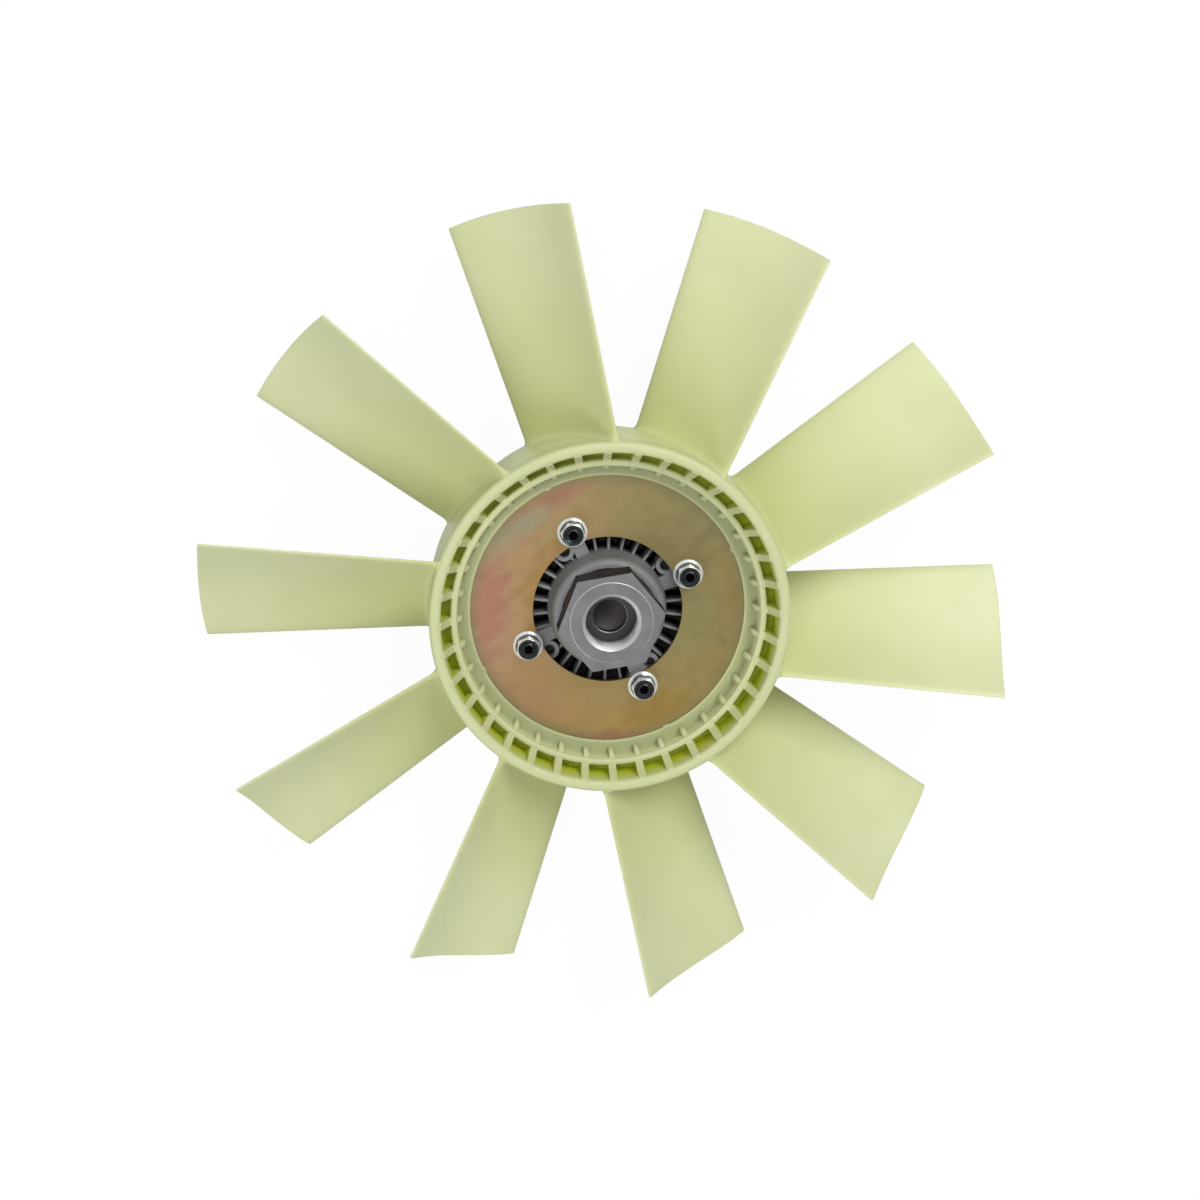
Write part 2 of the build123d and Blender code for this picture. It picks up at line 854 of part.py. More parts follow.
def bracket_screw_x():
    """Distance of the bracket screw from the axis."""
    return bracket_wall_x() + bracket_thickness + bracket_foot_length / 2


def coil_bracket():
    """Folded steel bracket that holds the coil's outer end on the cover."""
    wall = bracket_wall_x()
    top = cover_floor_z
    outline = [
        (wall, top),
        (wall, spindle_end_z()),
        (wall + bracket_thickness, spindle_end_z()),
        (wall + bracket_thickness, top - bracket_thickness),
        (wall + bracket_thickness + bracket_foot_length, top - bracket_thickness),
        (wall + bracket_thickness + bracket_foot_length, top),
    ]
    hole_low = top - bracket_thickness - cut_overshoot
    hole = rod(bracket_screw_radius, hole_low, top + cut_overshoot)
    return upright(outline, bracket_width) - Pos(bracket_screw_x(), 0, 0) * hole


def bracket_screw():
    """Small screw that fixes the bracket."""
    head_top = cover_floor_z - bracket_thickness
    screw = rod(bracket_screw_radius, head_top - 0.5, cover_floor_z + bracket_screw_engagement)
    screw += rod(bracket_screw_head_radius, head_top - bracket_screw_head_height, head_top)
    return Pos(bracket_screw_x(), 0, 0) * screw


pieces = {
    "fan": fan,
    "mounting_disc": mounting_disc,
    "disc_studs": disc_studs,
    "flange_nuts": flange_nuts,
    "clutch_housing": clutch_housing,
    "front_cover": front_cover,
    "cover_seal": cover_seal,
    "cover_screws": cover_screws,
    "drive_shaft": drive_shaft,
    "bearing_inner_ring": bearing_inner_ring,
    "bearing_outer_ring": bearing_outer_ring,
    "bearing_rollers": bearing_rollers,
    "bearing_cage": bearing_cage,
    "bearing_front_seal": bearing_front_seal,
    "bearing_rear_seal": bearing_rear_seal,
    "rotor_disc": rotor_disc,
    "separator_plate": separator_plate,
    "plate_rivets": plate_rivets,
    "valve_lever": valve_lever,
    "valve_spindle": valve_spindle,
    "spindle_seal": spindle_seal,
    "bimetal_coil": bimetal_coil,
    "coil_bracket": coil_bracket,
    "bracket_screw": bracket_screw,
}

os.makedirs("parts", exist_ok=True)
for name, make in pieces.items():
    export_step(make(), f"parts/{name}.step")
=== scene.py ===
import math

import bmesh
import bpy
import numpy as np
from mathutils import Matrix, Vector


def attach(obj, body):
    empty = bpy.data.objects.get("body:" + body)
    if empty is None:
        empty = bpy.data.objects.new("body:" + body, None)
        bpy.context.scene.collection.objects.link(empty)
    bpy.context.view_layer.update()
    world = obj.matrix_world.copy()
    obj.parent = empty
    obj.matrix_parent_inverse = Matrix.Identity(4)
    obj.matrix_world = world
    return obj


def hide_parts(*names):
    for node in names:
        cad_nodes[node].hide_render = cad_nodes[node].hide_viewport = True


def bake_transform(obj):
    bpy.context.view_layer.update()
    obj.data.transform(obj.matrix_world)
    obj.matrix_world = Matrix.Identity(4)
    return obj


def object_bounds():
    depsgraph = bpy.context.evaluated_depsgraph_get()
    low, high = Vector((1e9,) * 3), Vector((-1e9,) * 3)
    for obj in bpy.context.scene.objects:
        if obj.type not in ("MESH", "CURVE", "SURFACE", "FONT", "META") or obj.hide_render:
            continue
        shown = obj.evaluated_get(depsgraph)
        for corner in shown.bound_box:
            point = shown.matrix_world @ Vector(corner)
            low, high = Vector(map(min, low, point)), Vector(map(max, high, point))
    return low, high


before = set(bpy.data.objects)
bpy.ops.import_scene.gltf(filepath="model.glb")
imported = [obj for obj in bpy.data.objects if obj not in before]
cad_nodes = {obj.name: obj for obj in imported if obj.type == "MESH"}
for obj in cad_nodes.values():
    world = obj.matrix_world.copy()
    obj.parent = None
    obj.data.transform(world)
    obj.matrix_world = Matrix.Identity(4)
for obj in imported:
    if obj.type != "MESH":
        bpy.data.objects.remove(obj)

cad_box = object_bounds()

# Clutch housing. A die casting in aluminium with thin radial fins, four stud pads and four ears.
# It is left as cast, so it is pale grey and slightly grainy. Between the fins, where the light
# hardly reaches, its colour is darkened to near black as painted shade.


def colour(code):
    """Linear colour for a shader socket from an sRGB hex code."""
    channels = [int(code[i:i + 2], 16) / 255 for i in (1, 3, 5)]
    linear = [c / 12.92 if c <= 0.04045 else ((c + 0.055) / 1.055) ** 2.4 for c in channels]
    return (*linear, 1.0)


def add_node(tree, kind, values=None, links=None, stops=(), **settings):
    """Adds a node with its settings, input values, links and (position, hex code) colour stops."""
    node = tree.nodes.new(kind)
    for name, value in settings.items():
        setattr(node, name, value)
    for name, value in (values or {}).items():
        node.inputs[name].default_value = value
    for name, source in (links or {}).items():
        tree.links.new(source, node.inputs[name])
    for _ in stops[2:]:
        node.color_ramp.elements.new(0.5)
    for number, (position, code) in enumerate(stops):
        node.color_ramp.elements[number].position = position
        node.color_ramp.elements[number].color = colour(code)
    return node


def start_material(name, **values):
    """A new material, its tree, its shader with the plain values set, and Object coordinates."""
    material = bpy.data.materials.new(name)
    material.use_nodes = True
    tree = material.node_tree
    shader = tree.nodes["Principled BSDF"]
    for socket, value in values.items():
        shader.inputs[socket.replace("_", " ")].default_value = value
    place = add_node(tree, "ShaderNodeTexCoord").outputs["Object"]
    return material, tree, shader, place


def mottled(tree, place, size_mm, *stops, **values):
    """Colour that drifts between the stops' hex codes, in blotches of about size_mm."""
    values = {"Scale": 1000 / size_mm, "Detail": 3.0, **values}
    blotches = add_node(tree, "ShaderNodeTexNoise", values, {"Vector": place}).outputs["Fac"]
    tone = add_node(tree, "ShaderNodeValToRGB", links={"Fac": blotches}, stops=stops)
    return tone.outputs["Color"]


def zone_share(tree, *fades):
    """Share of a zone: the product of (value, share at start, share at end, start, end) fades."""
    share = None
    for value, first, last, start, end in fades:
        span = {"From Min": start, "From Max": end, "To Min": first, "To Max": last}
        faded = add_node(tree, "ShaderNodeMapRange", span, {"Value": value}).outputs["Result"]
        if share is not None:
            links = {0: share, 1: faded}
            faded = add_node(tree, "ShaderNodeMath", links=links, operation="MULTIPLY").outputs[0]
        share = faded
    return share


def tinted(tree, base, code, *fades):
    """The base colour, tinted with a hex code in the zone of the fades."""
    links = {0: zone_share(tree, *fades), 6: base}
    return add_node(tree, "ShaderNodeMix", {7: colour(code)}, links, data_type="RGBA").outputs[2]


def patchy(tree, place, size_mm, low, high):
    """Roughness that drifts from low to high, in patches of about size_mm."""
    values = {"Scale": 1000 / size_mm, "Detail": 3.0}
    patches = add_node(tree, "ShaderNodeTexNoise", values, {"Vector": place}).outputs["Fac"]
    return zone_share(tree, (patches, low, high, 0.3, 0.7))


def grained(tree, shader, place, size_mm, depth_mm, strength, detail=3.0):
    """Relief of about depth_mm on the shader's surface, in grains of about size_mm."""
    values = {"Scale": 1000 / size_mm, "Detail": detail}
    grains = add_node(tree, "ShaderNodeTexNoise", values, {"Vector": place}).outputs["Fac"]
    values = {"Strength": strength, "Distance": depth_mm / 1000}
    relief = add_node(tree, "ShaderNodeBump", values, {"Height": grains}).outputs["Normal"]
    tree.links.new(relief, shader.inputs["Normal"])


def from_axis(tree, place):
    """Distance from the axis of rotation, in metres."""
    values, links = {1: (1.0, 1.0, 0.0)}, {0: place}
    flat = add_node(tree, "ShaderNodeVectorMath", values, links, operation="MULTIPLY").outputs[0]
    reach = add_node(tree, "ShaderNodeVectorMath", links={0: flat}, operation="LENGTH")
    return reach.outputs["Value"]


def paint_node(name, material):
    """Gives a CAD node its finish."""
    for slot in cad_nodes[name].material_slots:
        slot.material = material


# Die-cast aluminium, as cast: the skin of the mould leaves a fine grain, which makes it matt. The
# grain is drawn about three times as coarse as the real one, so that it shows. Places are metres.
cast_grain = 0.9
cast_cloud = 22.0
fin_shade_top = -0.037
fin_shade_full = -0.047
fin_floor_z = -0.0548
floor_fade = 0.0004
fin_shade_reach = 0.052
unshaded_reach = 0.066
cast_aluminium, tree, shader, place = start_material("cast_aluminium", Metallic=0.45)
height = add_node(tree, "ShaderNodeSeparateXYZ", links={"Vector": place}).outputs["Z"]
# Painted shade: the colour goes near black between the fins, and fades out above them, below their
# floor and beyond their outer ends
fin_unshaded = zone_share(tree, (height, 0.0, 1.0, fin_shade_full, fin_shade_top))
for fade in (
    (height, 1.0, 0.0, fin_floor_z - floor_fade, fin_floor_z),
    (from_axis(tree, place), 0.0, 1.0, fin_shade_reach, unshaded_reach),
):
    links = {0: fin_unshaded, 1: zone_share(tree, fade)}
    fin_unshaded = add_node(tree, "ShaderNodeMath", links=links, operation="MAXIMUM").outputs[0]
metal = mottled(tree, place, cast_cloud, (0.3, "#818182"), (0.7, "#959595"))
metal = tinted(tree, metal, "#141313", (fin_unshaded, 1.0, 0.0, 0.0, 1.0))
tree.links.new(metal, shader.inputs["Base Color"])
tree.links.new(patchy(tree, place, cast_cloud, 0.6, 0.75), shader.inputs["Roughness"])
grained(tree, shader, place, cast_grain, 0.12, 0.5)
paint_node("clutch_housing", cast_aluminium)

# Bearing. Two ground steel rings with rolling elements in a moulded cage between them, closed on
# both sides by a rubber seal. It is pressed into the housing and on to the shaft, and only the
# edge of its front seal can be seen behind the hexagon.

# Bearing steel, ground: nearly smooth and bright, a little more satin in small patches
ground_steel, tree, shader, place = start_material("ground_steel", Metallic=1.0)
metal = mottled(tree, place, 14.0, (0.3, "#9c9c9d"), (0.7, "#b3b3b2"))
tree.links.new(metal, shader.inputs["Base Color"])
tree.links.new(patchy(tree, place, 1.5, 0.2, 0.34), shader.inputs["Roughness"])

# Nitrile rubber, moulded: matt, dark red, with a slight bloom
red_rubber, tree, shader, place = start_material("red_nitrile_rubber", Roughness=0.62)
rubber = mottled(tree, place, 3.0, (0.3, "#5c1f1c"), (0.7, "#7c302b"))
tree.links.new(rubber, shader.inputs["Base Color"])
grained(tree, shader, place, 0.4, 0.03, 0.4)

# Glass-filled nylon, moulded: brown, satin, with the fibres' faint mottle
cage_nylon, tree, shader, place = start_material("glass_filled_nylon", Roughness=0.45)
nylon = mottled(tree, place, 2.0, (0.3, "#7b5a38"), (0.7, "#94704a"))
tree.links.new(nylon, shader.inputs["Base Color"])

for name in ("bearing_inner_ring", "bearing_outer_ring", "bearing_rollers"):
    paint_node(name, ground_steel)
for name in ("bearing_front_seal", "bearing_rear_seal"):
    paint_node(name, red_rubber)
paint_node("bearing_cage", cage_nylon)

# Drive shaft. One turning in steel: a hexagon hub with a raised seat face and a blind threaded
# bore at the front, the bearing's journal and the rotor's seat behind. The faces keep the lathe's
# fine rings. The hexagon's side faces are darkened as painted shade, and the broken edges of the
# seat and the pilot are lightened as a painted highlight. Meshes are given in millimetres.


def skin(name, rings, closed=False, caps=True):
    """Mesh over rings of points in millimetres, each ring with as many points as the next."""
    rings = np.asarray(rings, float)
    count, around = rings.shape[:2]
    index = np.arange(count * around).reshape(count, around)
    lower = index if closed else index[:-1]
    upper = np.roll(index, -1, axis=0) if closed else index[1:]
    corners = [lower, np.roll(lower, -1, 1), np.roll(upper, -1, 1), upper]
    faces = np.stack(corners, -1).reshape(-1, 4).tolist()
    if caps and not closed:
        faces += [index[0][::-1].tolist(), index[-1].tolist()]
    mesh = bpy.data.meshes.new(name)
    mesh.from_pydata((rings.reshape(-1, 3) / 1000).tolist(), [], faces)
    work = bmesh.new()
    work.from_mesh(mesh)
    bmesh.ops.remove_doubles(work, verts=work.verts, dist=1e-7)
    bmesh.ops.recalc_face_normals(work, faces=work.faces)
    work.to_mesh(mesh)
    work.free()
    piece = bpy.data.objects.new(name, mesh)
    bpy.context.scene.collection.objects.link(piece)
    return piece


def smooth(piece, sharp_over=32.0):
    """Smooth shading, with edges sharper than that many degrees kept."""
    piece.data.polygons.foreach_set("use_smooth", [True] * len(piece.data.polygons))
    piece.data.set_sharp_from_angle(angle=math.radians(sharp_over))


def turned(profile, angles):
    """Rings about Z through (radius, z) points."""
    return [[(r * math.cos(a), r * math.sin(a), z) for a in angles] for r, z in profile]


def hexagon_radius(across_flats, corner_angle, angles):
    """Distance from the axis to a hexagon's outline at each angle."""
    turn = (np.degrees(angles) - corner_angle + 60) % 60 - 30
    return across_flats / 2 / np.cos(np.radians(turn))


# Free-machining steel, turned and milled: bright grey and satin, with the tool's rings. Deep in
# the bore its colour is darkened as painted shade, and on the upper bore wall and the mouth it is
# lightened as a painted highlight. The rings are drawn twice as wide as a finishing cut leaves
# them, so that they show.
tool_ring = 0.5
ring_depth = 0.015
turned_steel, tree, shader, place = start_material("turned_steel", Metallic=1.0)
radius = from_axis(tree, place)
height = add_node(tree, "ShaderNodeSeparateXYZ", links={"Vector": place}).outputs["Z"]
rings = add_node(
    tree, "ShaderNodeTexNoise", {"Scale": 1000 / tool_ring, "Detail": 1.0}, {"W": radius},
    noise_dimensions="1D",
).outputs["Fac"]
steel = mottled(tree, place, 12.0, (0.3, "#8b898c"), (0.72, "#9d9b9d"))
# Painted shade: darker deep in the bore
steel = tinted(
    tree, steel, "#4d4948", (height, 1.0, 0.0, -0.016, -0.009), (radius, 1.0, 0.0, 0.0162, 0.0166)
)
# Painted highlight: lighter on the upper bore wall and the mouth chamfer
steel = tinted(
    tree, steel, "#d6d4d6", (height, 0.0, 0.8, -0.012, -0.005), (radius, 1.0, 0.0, 0.0171, 0.0174)
)
tree.links.new(steel, shader.inputs["Base Color"])
satin = zone_share(tree, (rings, 0.32, 0.44, 0.3, 0.7))
in_bore = zone_share(tree, (radius, 0.2, 0.0, 0.0166, 0.0172))
matt = add_node(tree, "ShaderNodeMath", links={0: satin, 1: in_bore}, operation="ADD").outputs[0]
tree.links.new(matt, shader.inputs["Roughness"])
relief = {"Strength": 0.6, "Distance": ring_depth / 1000}
ring_marks = add_node(tree, "ShaderNodeBump", relief, {"Height": rings}).outputs["Normal"]
tree.links.new(ring_marks, shader.inputs["Normal"])

# The same steel on the edges that the tool broke, lightened nearly to white as a painted highlight
edge_highlight_steel, tree, shader, place = start_material("steel_edges_painted_highlight", Metallic=1.0)
metal = mottled(tree, place, 4.0, (0.3, "#e6e5e6"), (0.7, "#f6f6f6"))
tree.links.new(metal, shader.inputs["Base Color"])
tree.links.new(patchy(tree, place, 0.8, 0.28, 0.4), shader.inputs["Roughness"])

# The same steel on the hexagon's side faces, darkened as painted shade
hex_side_shade, tree, shader, place = start_material("hex_sides_painted_shade", Metallic=0.9)
metal = mottled(tree, place, 6.0, (0.3, "#393532"), (0.72, "#4b4643"))
tree.links.new(metal, shader.inputs["Base Color"])
tree.links.new(patchy(tree, place, 1.5, 0.42, 0.58), shader.inputs["Roughness"])
grained(tree, shader, place, 0.6, 0.03, 0.5)

hub_flats = 55.0
hub_corner_angle = 9.0
hub_back = -17.0
hub_front = -0.5
hub_crown = 0.2
crown_slope = 2.4
back_cut = 2.2
back_cut_rise = 1.1
shoulder_radius = 20.5
bearing_seat = 17.5
bearing_front = -20.5
bearing_back = -40.5
rotor_seat = 15.0
shaft_back = -68.4
shaft_back_cut = 0.8
flats_from = 26.5
edge_cut = 0.4
seat_radius = 24.3
mouth_radius = 17.0
mouth_end = -1.8
thread_radius = 15.2
thread_pitch = 1.5
thread_depth = 0.7
thread_end = -15.0
pilot_radius = 10.0
pilot_end = -20.0
drill_tip = -26.0
journal_profile = [
    (0, shaft_back), (rotor_seat - shaft_back_cut, shaft_back),
    (rotor_seat, shaft_back + shaft_back_cut), (rotor_seat, bearing_back),
    (bearing_seat, bearing_back), (bearing_seat, bearing_front),
    (shoulder_radius, bearing_front), (shoulder_radius, hub_back),
]
hub_steps = 180
hub_angles = np.radians(1 + np.arange(hub_steps) * 360 / hub_steps)
hub_outline = hexagon_radius(hub_flats, hub_corner_angle, hub_angles)
hub_corner = hub_flats / math.sqrt(3)


def hub_ring(reach, z):
    """Ring of the hub at that height, at its distance from the axis for each angle."""
    x, y = reach * np.cos(hub_angles), reach * np.sin(hub_angles)
    return np.stack([x, y, np.full(hub_steps, z)], 1)


def thread_reach(z):
    """Distance of the threaded wall, a groove that winds outwards from the minor diameter."""
    phase = (z / thread_pitch + hub_angles / (2 * math.pi)) % 1
    groove = np.clip(1.25 - np.abs(phase - 0.5) * 4, 0, 1)
    fade = min(1, (mouth_end - z) / thread_pitch + 0.4, (z - thread_end) / thread_pitch)
    return thread_radius + thread_depth * groove * max(0, fade)


hub_rings = turned(journal_profile, hub_angles)
hub_rings.append(hub_ring(np.minimum(hub_outline, hub_corner - back_cut), hub_back))
hub_rings.append(hub_ring(np.minimum(hub_outline, hub_corner), hub_back + back_cut_rise))
for share in np.linspace(0, 1, 4):
    cone_radius = hub_corner - share * crown_slope * hub_crown
    hub_rings.append(
        hub_ring(np.minimum(hub_outline, cone_radius), hub_front - hub_crown * (1 - share))
    )
face_profile = [
    (seat_radius, hub_front), (seat_radius, -0.35), (seat_radius - 0.1, -0.25),
    (seat_radius - edge_cut, 0), (mouth_radius + 0.35, 0), (mouth_radius, -0.2),
    (thread_radius, mouth_end),
]
hub_rings += turned(face_profile, hub_angles)
for z in np.arange(mouth_end - 0.1, thread_end, -thread_pitch / 6):
    hub_rings.append(hub_ring(thread_reach(z), z))
bore_profile = [
    (thread_radius, thread_end), (pilot_radius + edge_cut, thread_end),
    (pilot_radius, thread_end - edge_cut), (pilot_radius, pilot_end), (0, drill_tip),
]
hub_rings += turned(bore_profile, hub_angles)
hub = skin("threaded_hub", hub_rings, caps=False)
for material in (turned_steel, hex_side_shade, edge_highlight_steel):
    hub.data.materials.append(material)
for face in hub.data.polygons:
    reach, level = face.center.xy.length * 1000, face.center.z * 1000
    at_seat = seat_radius - edge_cut < reach < seat_radius + 0.1 and level > hub_front + 0.14
    at_pilot = pilot_radius < reach < pilot_radius + edge_cut and level > thread_end - edge_cut
    # The hexagon's side faces get the painted shade
    if reach > flats_from and abs(face.normal.z) < 0.3:
        face.material_index = 1
    # The broken edges of the seat and the pilot get the painted highlight
    elif at_seat or at_pilot:
        face.material_index = 2
smooth(hub, 17)
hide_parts("drive_shaft")
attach(hub, "shaft")

# Rotor. A cast aluminium disc with a ridge, pressed on the shaft's rear seat. It shears the fluid
# in the chamber behind the housing, and the housing and the cover hide it.
paint_node("rotor_disc", cast_aluminium)

# Valve and separator plate. Pressed sheet steel with bright zinc plate and three rivets, and a
# turned spindle in a rubber seal. They lie inside the clutch, closed in by the cover.

# Zinc plate on steel: bright, slightly blue, faintly clouded
zinc_plate, tree, shader, place = start_material("zinc_plated_steel", Metallic=1.0)
metal = mottled(tree, place, 5.0, (0.3, "#b9bcbf"), (0.7, "#d4d6d8"))
tree.links.new(metal, shader.inputs["Base Color"])
tree.links.new(patchy(tree, place, 1.2, 0.2, 0.36), shader.inputs["Roughness"])
grained(tree, shader, place, 0.9, 0.01, 0.2)

# Nitrile rubber, moulded: matt black
black_rubber, tree, shader, place = start_material("black_nitrile_rubber", Roughness=0.6)
rubber = mottled(tree, place, 3.0, (0.3, "#191919"), (0.7, "#262625"))
tree.links.new(rubber, shader.inputs["Base Color"])
grained(tree, shader, place, 0.4, 0.03, 0.4)

for name in ("separator_plate", "plate_rivets", "valve_lever"):
    paint_node(name, zinc_plate)
paint_node("valve_spindle", turned_steel)
paint_node("spindle_seal", black_rubber)

# Front cover. A die casting in aluminium as the housing is, with radial fins that cool the fluid
# behind it. Six hexagon screws pull it on to a rubber ring in the housing's rim.
paint_node("front_cover", cast_aluminium)
paint_node("cover_seal", black_rubber)
paint_node("cover_screws", zinc_plate)

# Bimetal coil. A rolled strip wound flat on the cover's middle. Its inner end is bent into the
# spindle's slot and turns with the valve, its outer end stays in a folded bracket, and the first
# half turn winds up between them. The ends of its half circles lie on the X axis.

# Bimetal strip, cold rolled: two alloys, straw-coloured outside, with lines drawn out by the roll
bimetal, tree, shader, place = start_material("rolled_bimetal_strip", Metallic=1.0)
stretch, links = {1: (0.1, 0.1, 1.0)}, {0: place}
along_roll = add_node(tree, "ShaderNodeVectorMath", stretch, links, operation="MULTIPLY").outputs[0]
metal = mottled(tree, along_roll, 0.5, (0.3, "#a08d63"), (0.7, "#bfae85"))
tree.links.new(metal, shader.inputs["Base Color"])
tree.links.new(patchy(tree, along_roll, 0.8, 0.25, 0.4), shader.inputs["Roughness"])

strip_back = -93.8
strip_front = -87.8
strip_half = 0.5
strip_edge = 0.12
tang_start = -4.0
bend_radius = 1.0
first_reach = 6.8
reach_step = 2.8
half_turn_steps = 24


def strip_ring(x, y, out_x, out_y):
    """Section of the strip at a point of its path, with the direction of its outer face."""
    flat, thin = strip_half - strip_edge, strip_half
    section = [
        (-flat, strip_back), (flat, strip_back),
        (thin, strip_back + strip_edge), (thin, strip_front - strip_edge),
        (flat, strip_front), (-flat, strip_front),
        (-thin, strip_front - strip_edge), (-thin, strip_back + strip_edge),
    ]
    return [(x + out_x * off, y + out_y * off, z) for off, z in section]


def half_turn(number, angles):
    """Rings of one half circle of the coil, at angles from its start."""
    way = (-1) ** number
    reach = first_reach + (number + 0.5) * reach_step
    return [
        strip_ring(way * (reach * c - reach_step / 2), way * reach * s, way * c, way * s)
        for c, s in zip(np.cos(angles), np.sin(angles))
    ]


bend_x = first_reach - bend_radius
inner_rings = [strip_ring(tang_start, 0, 0, -1)]
for turn in np.radians((0, 30, 60, 90)):
    out_x, out_y = math.sin(turn), -math.cos(turn)
    inner_rings.append(
        strip_ring(bend_x + bend_radius * out_x, bend_radius * (1 + out_y), out_x, out_y)
    )
inner_rings += half_turn(0, np.radians(np.linspace(10, 180, half_turn_steps)))
half_circle = np.radians(np.linspace(0, 180, half_turn_steps + 1))
outer_rings = half_turn(1, half_circle)
for number in (2, 3):
    outer_rings += half_turn(number, half_circle)[1:]
coil_inner_end = skin("coil_inner_end", inner_rings)
coil_turns = skin("coil_turns", outer_rings)
for strip in (coil_inner_end, coil_turns):
    strip.data.materials.append(bimetal)
    smooth(strip)
    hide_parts("bimetal_coil")
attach(coil_turns, "fan_and_clutch")
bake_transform(coil_inner_end)
paint_node("coil_bracket", zinc_plate)
paint_node("bracket_screw", zinc_plate)

# Mounting disc. Flat sheet steel with yellow chromate over zinc, its edge moulded into the fan.
# The chromate's film shifts between pink, olive and straw, and the sheet has faint streaks.
disc_front = -29.0
disc_back = -32.0
disc_edge = 92.0
disc_face = disc_front / 1000

# Yellow chromate on zinc plate: a thin iridescent film, satin, with stains where it drained and
# streaks along the direction in which the sheet was rolled
film_drift = 60.0
streak_width = 5.0
streak_stretch = 6.0
streak_angle = 38.0
stain_raggedness = 2.4
passivated_steel, tree, shader, place = start_material("yellow_passivated_steel", Metallic=0.85)
axes = add_node(tree, "ShaderNodeSeparateXYZ", links={"Vector": place}).outputs
across = zone_share(tree, (axes["X"], 0.0, 1.0, -0.08, 0.07))
wander = add_node(
    tree, "ShaderNodeTexNoise", {"Scale": 1000 / film_drift, "Detail": 3.0, "Distortion": 1.2},
    {"Vector": place},
).outputs["Fac"]
shifted = add_node(
    tree, "ShaderNodeMath", {1: 0.5}, {0: wander, 2: across}, operation="MULTIPLY_ADD"
).outputs[0]
film = add_node(
    tree, "ShaderNodeValToRGB", links={"Fac": zone_share(tree, (shifted, 0.0, 1.0, 0.15, 1.3))},
    stops=(
        (0.0, "#bb937c"), (0.3, "#ae9068"), (0.6, "#9c8d61"), (0.85, "#978d60"), (1.0, "#9a8857"),
    ),
).outputs["Color"]
film = tinted(tree, film, "#aa8d54", (axes["Y"], 1.0, 0.0, -0.085, -0.02))
placing = {
    "Rotation": (0.0, 0.0, math.radians(streak_angle)), "Scale": (streak_stretch, 1.0, 1.0)
}
streaked = add_node(
    tree, "ShaderNodeMapping", placing, {"Vector": place}, vector_type="TEXTURE"
).outputs["Vector"]
streaks = add_node(
    tree, "ShaderNodeTexNoise", {"Scale": 1000 / streak_width, "Detail": 6.0, "Distortion": 0.4},
    {"Vector": streaked},
).outputs["Fac"]


def stain(x_mm, y_mm, length_mm, width_mm, turn_degrees):
    """Fade of a soft oval stain with a ragged edge, on the disc's face."""
    placing = {
        "Location": (x_mm / 1000, y_mm / 1000, disc_face),
        "Rotation": (0.0, 0.0, math.radians(turn_degrees)),
        "Scale": (length_mm / 1000, width_mm / 1000, 1.0),
    }
    inside = add_node(
        tree, "ShaderNodeMapping", placing, {"Vector": place}, vector_type="TEXTURE"
    ).outputs["Vector"]
    reach = add_node(
        tree, "ShaderNodeVectorMath", links={0: inside}, operation="LENGTH"
    ).outputs["Value"]
    ragged = add_node(
        tree, "ShaderNodeMath", {1: stain_raggedness}, {0: streaks, 2: reach},
        operation="MULTIPLY_ADD",
    ).outputs[0]
    return (ragged, 0.8, 0.0, 1.6, 2.5)


for oval, code in (
    ((-56, 56, 20, 14, 40), "#ad7362"), ((-72, 6, 15, 34, 0), "#ab7865"),
    ((-50, -52, 26, 16, -40), "#aa8662"), ((0, -80, 36, 4, 0), "#a96c56"),
    ((-52, 50, 34, 7, 38), "#9c997d"), ((-30, 72, 18, 8, 20), "#aa7760"),
    ((-36, 12, 14, 34, -12), "#a9844a"), ((30, -62, 22, 12, 20), "#9e8344"),
    ((44, 30, 28, 22, 60), "#8d8056"),
):
    film = tinted(tree, film, code, stain(*oval))
# Painted shade: a darker olive ring on the disc next to the lip, where the drum's wall shades it
film = tinted(tree, film, "#8a8560", (from_axis(tree, place), 0.0, 0.65, 0.0745, 0.0815))
tree.links.new(film, shader.inputs["Base Color"])
tree.links.new(patchy(tree, place, 9.0, 0.4, 0.55), shader.inputs["Roughness"])
grained(tree, shader, streaked, 1.4, 0.02, 0.5)
paint_node("mounting_disc", passivated_steel)

# Fan moulding. One shot of natural nylon: a drum with a slotted ring of ribs, ten twisted blades
# that flow into its wall with a fillet, and a lip moulded over the disc's edge. Every rim is
# rounded by the mould. The polymer is pale yellow-green, satin, and lets a little light in.

# Natural nylon, injection moulded: satin skin, faint flow marks and a slight depth. It is greener
# at the blades' roots, partly the deeper tone of the thick nylon and partly painted shade that
# stands for the light the thinner blade lets through. The fronts of the rim and the band are
# darkened as painted shade, and the slots take an olive tint that deepens with depth as painted
# shade. Over the steel disc it is greyer, where the thin lip covers the steel, and darker in the
# pockets below the band as painted shade, and the lip's edge is lightened as a painted highlight.
# The skin's grain is drawn coarser than real, so that it shows.
natural_nylon, tree, shader, place = start_material(
    "natural_nylon", IOR=1.53, Subsurface_Weight=0.1, Subsurface_Scale=0.003
)
shader.inputs["Subsurface Radius"].default_value = (1.0, 0.95, 0.5)
flow = add_node(
    tree, "ShaderNodeMapping", {"Scale": (1.0, 1.0, 0.6)}, {"Vector": place}
).outputs["Vector"]
radius = from_axis(tree, place)
height = add_node(tree, "ShaderNodeSeparateXYZ", links={"Vector": place}).outputs["Z"]
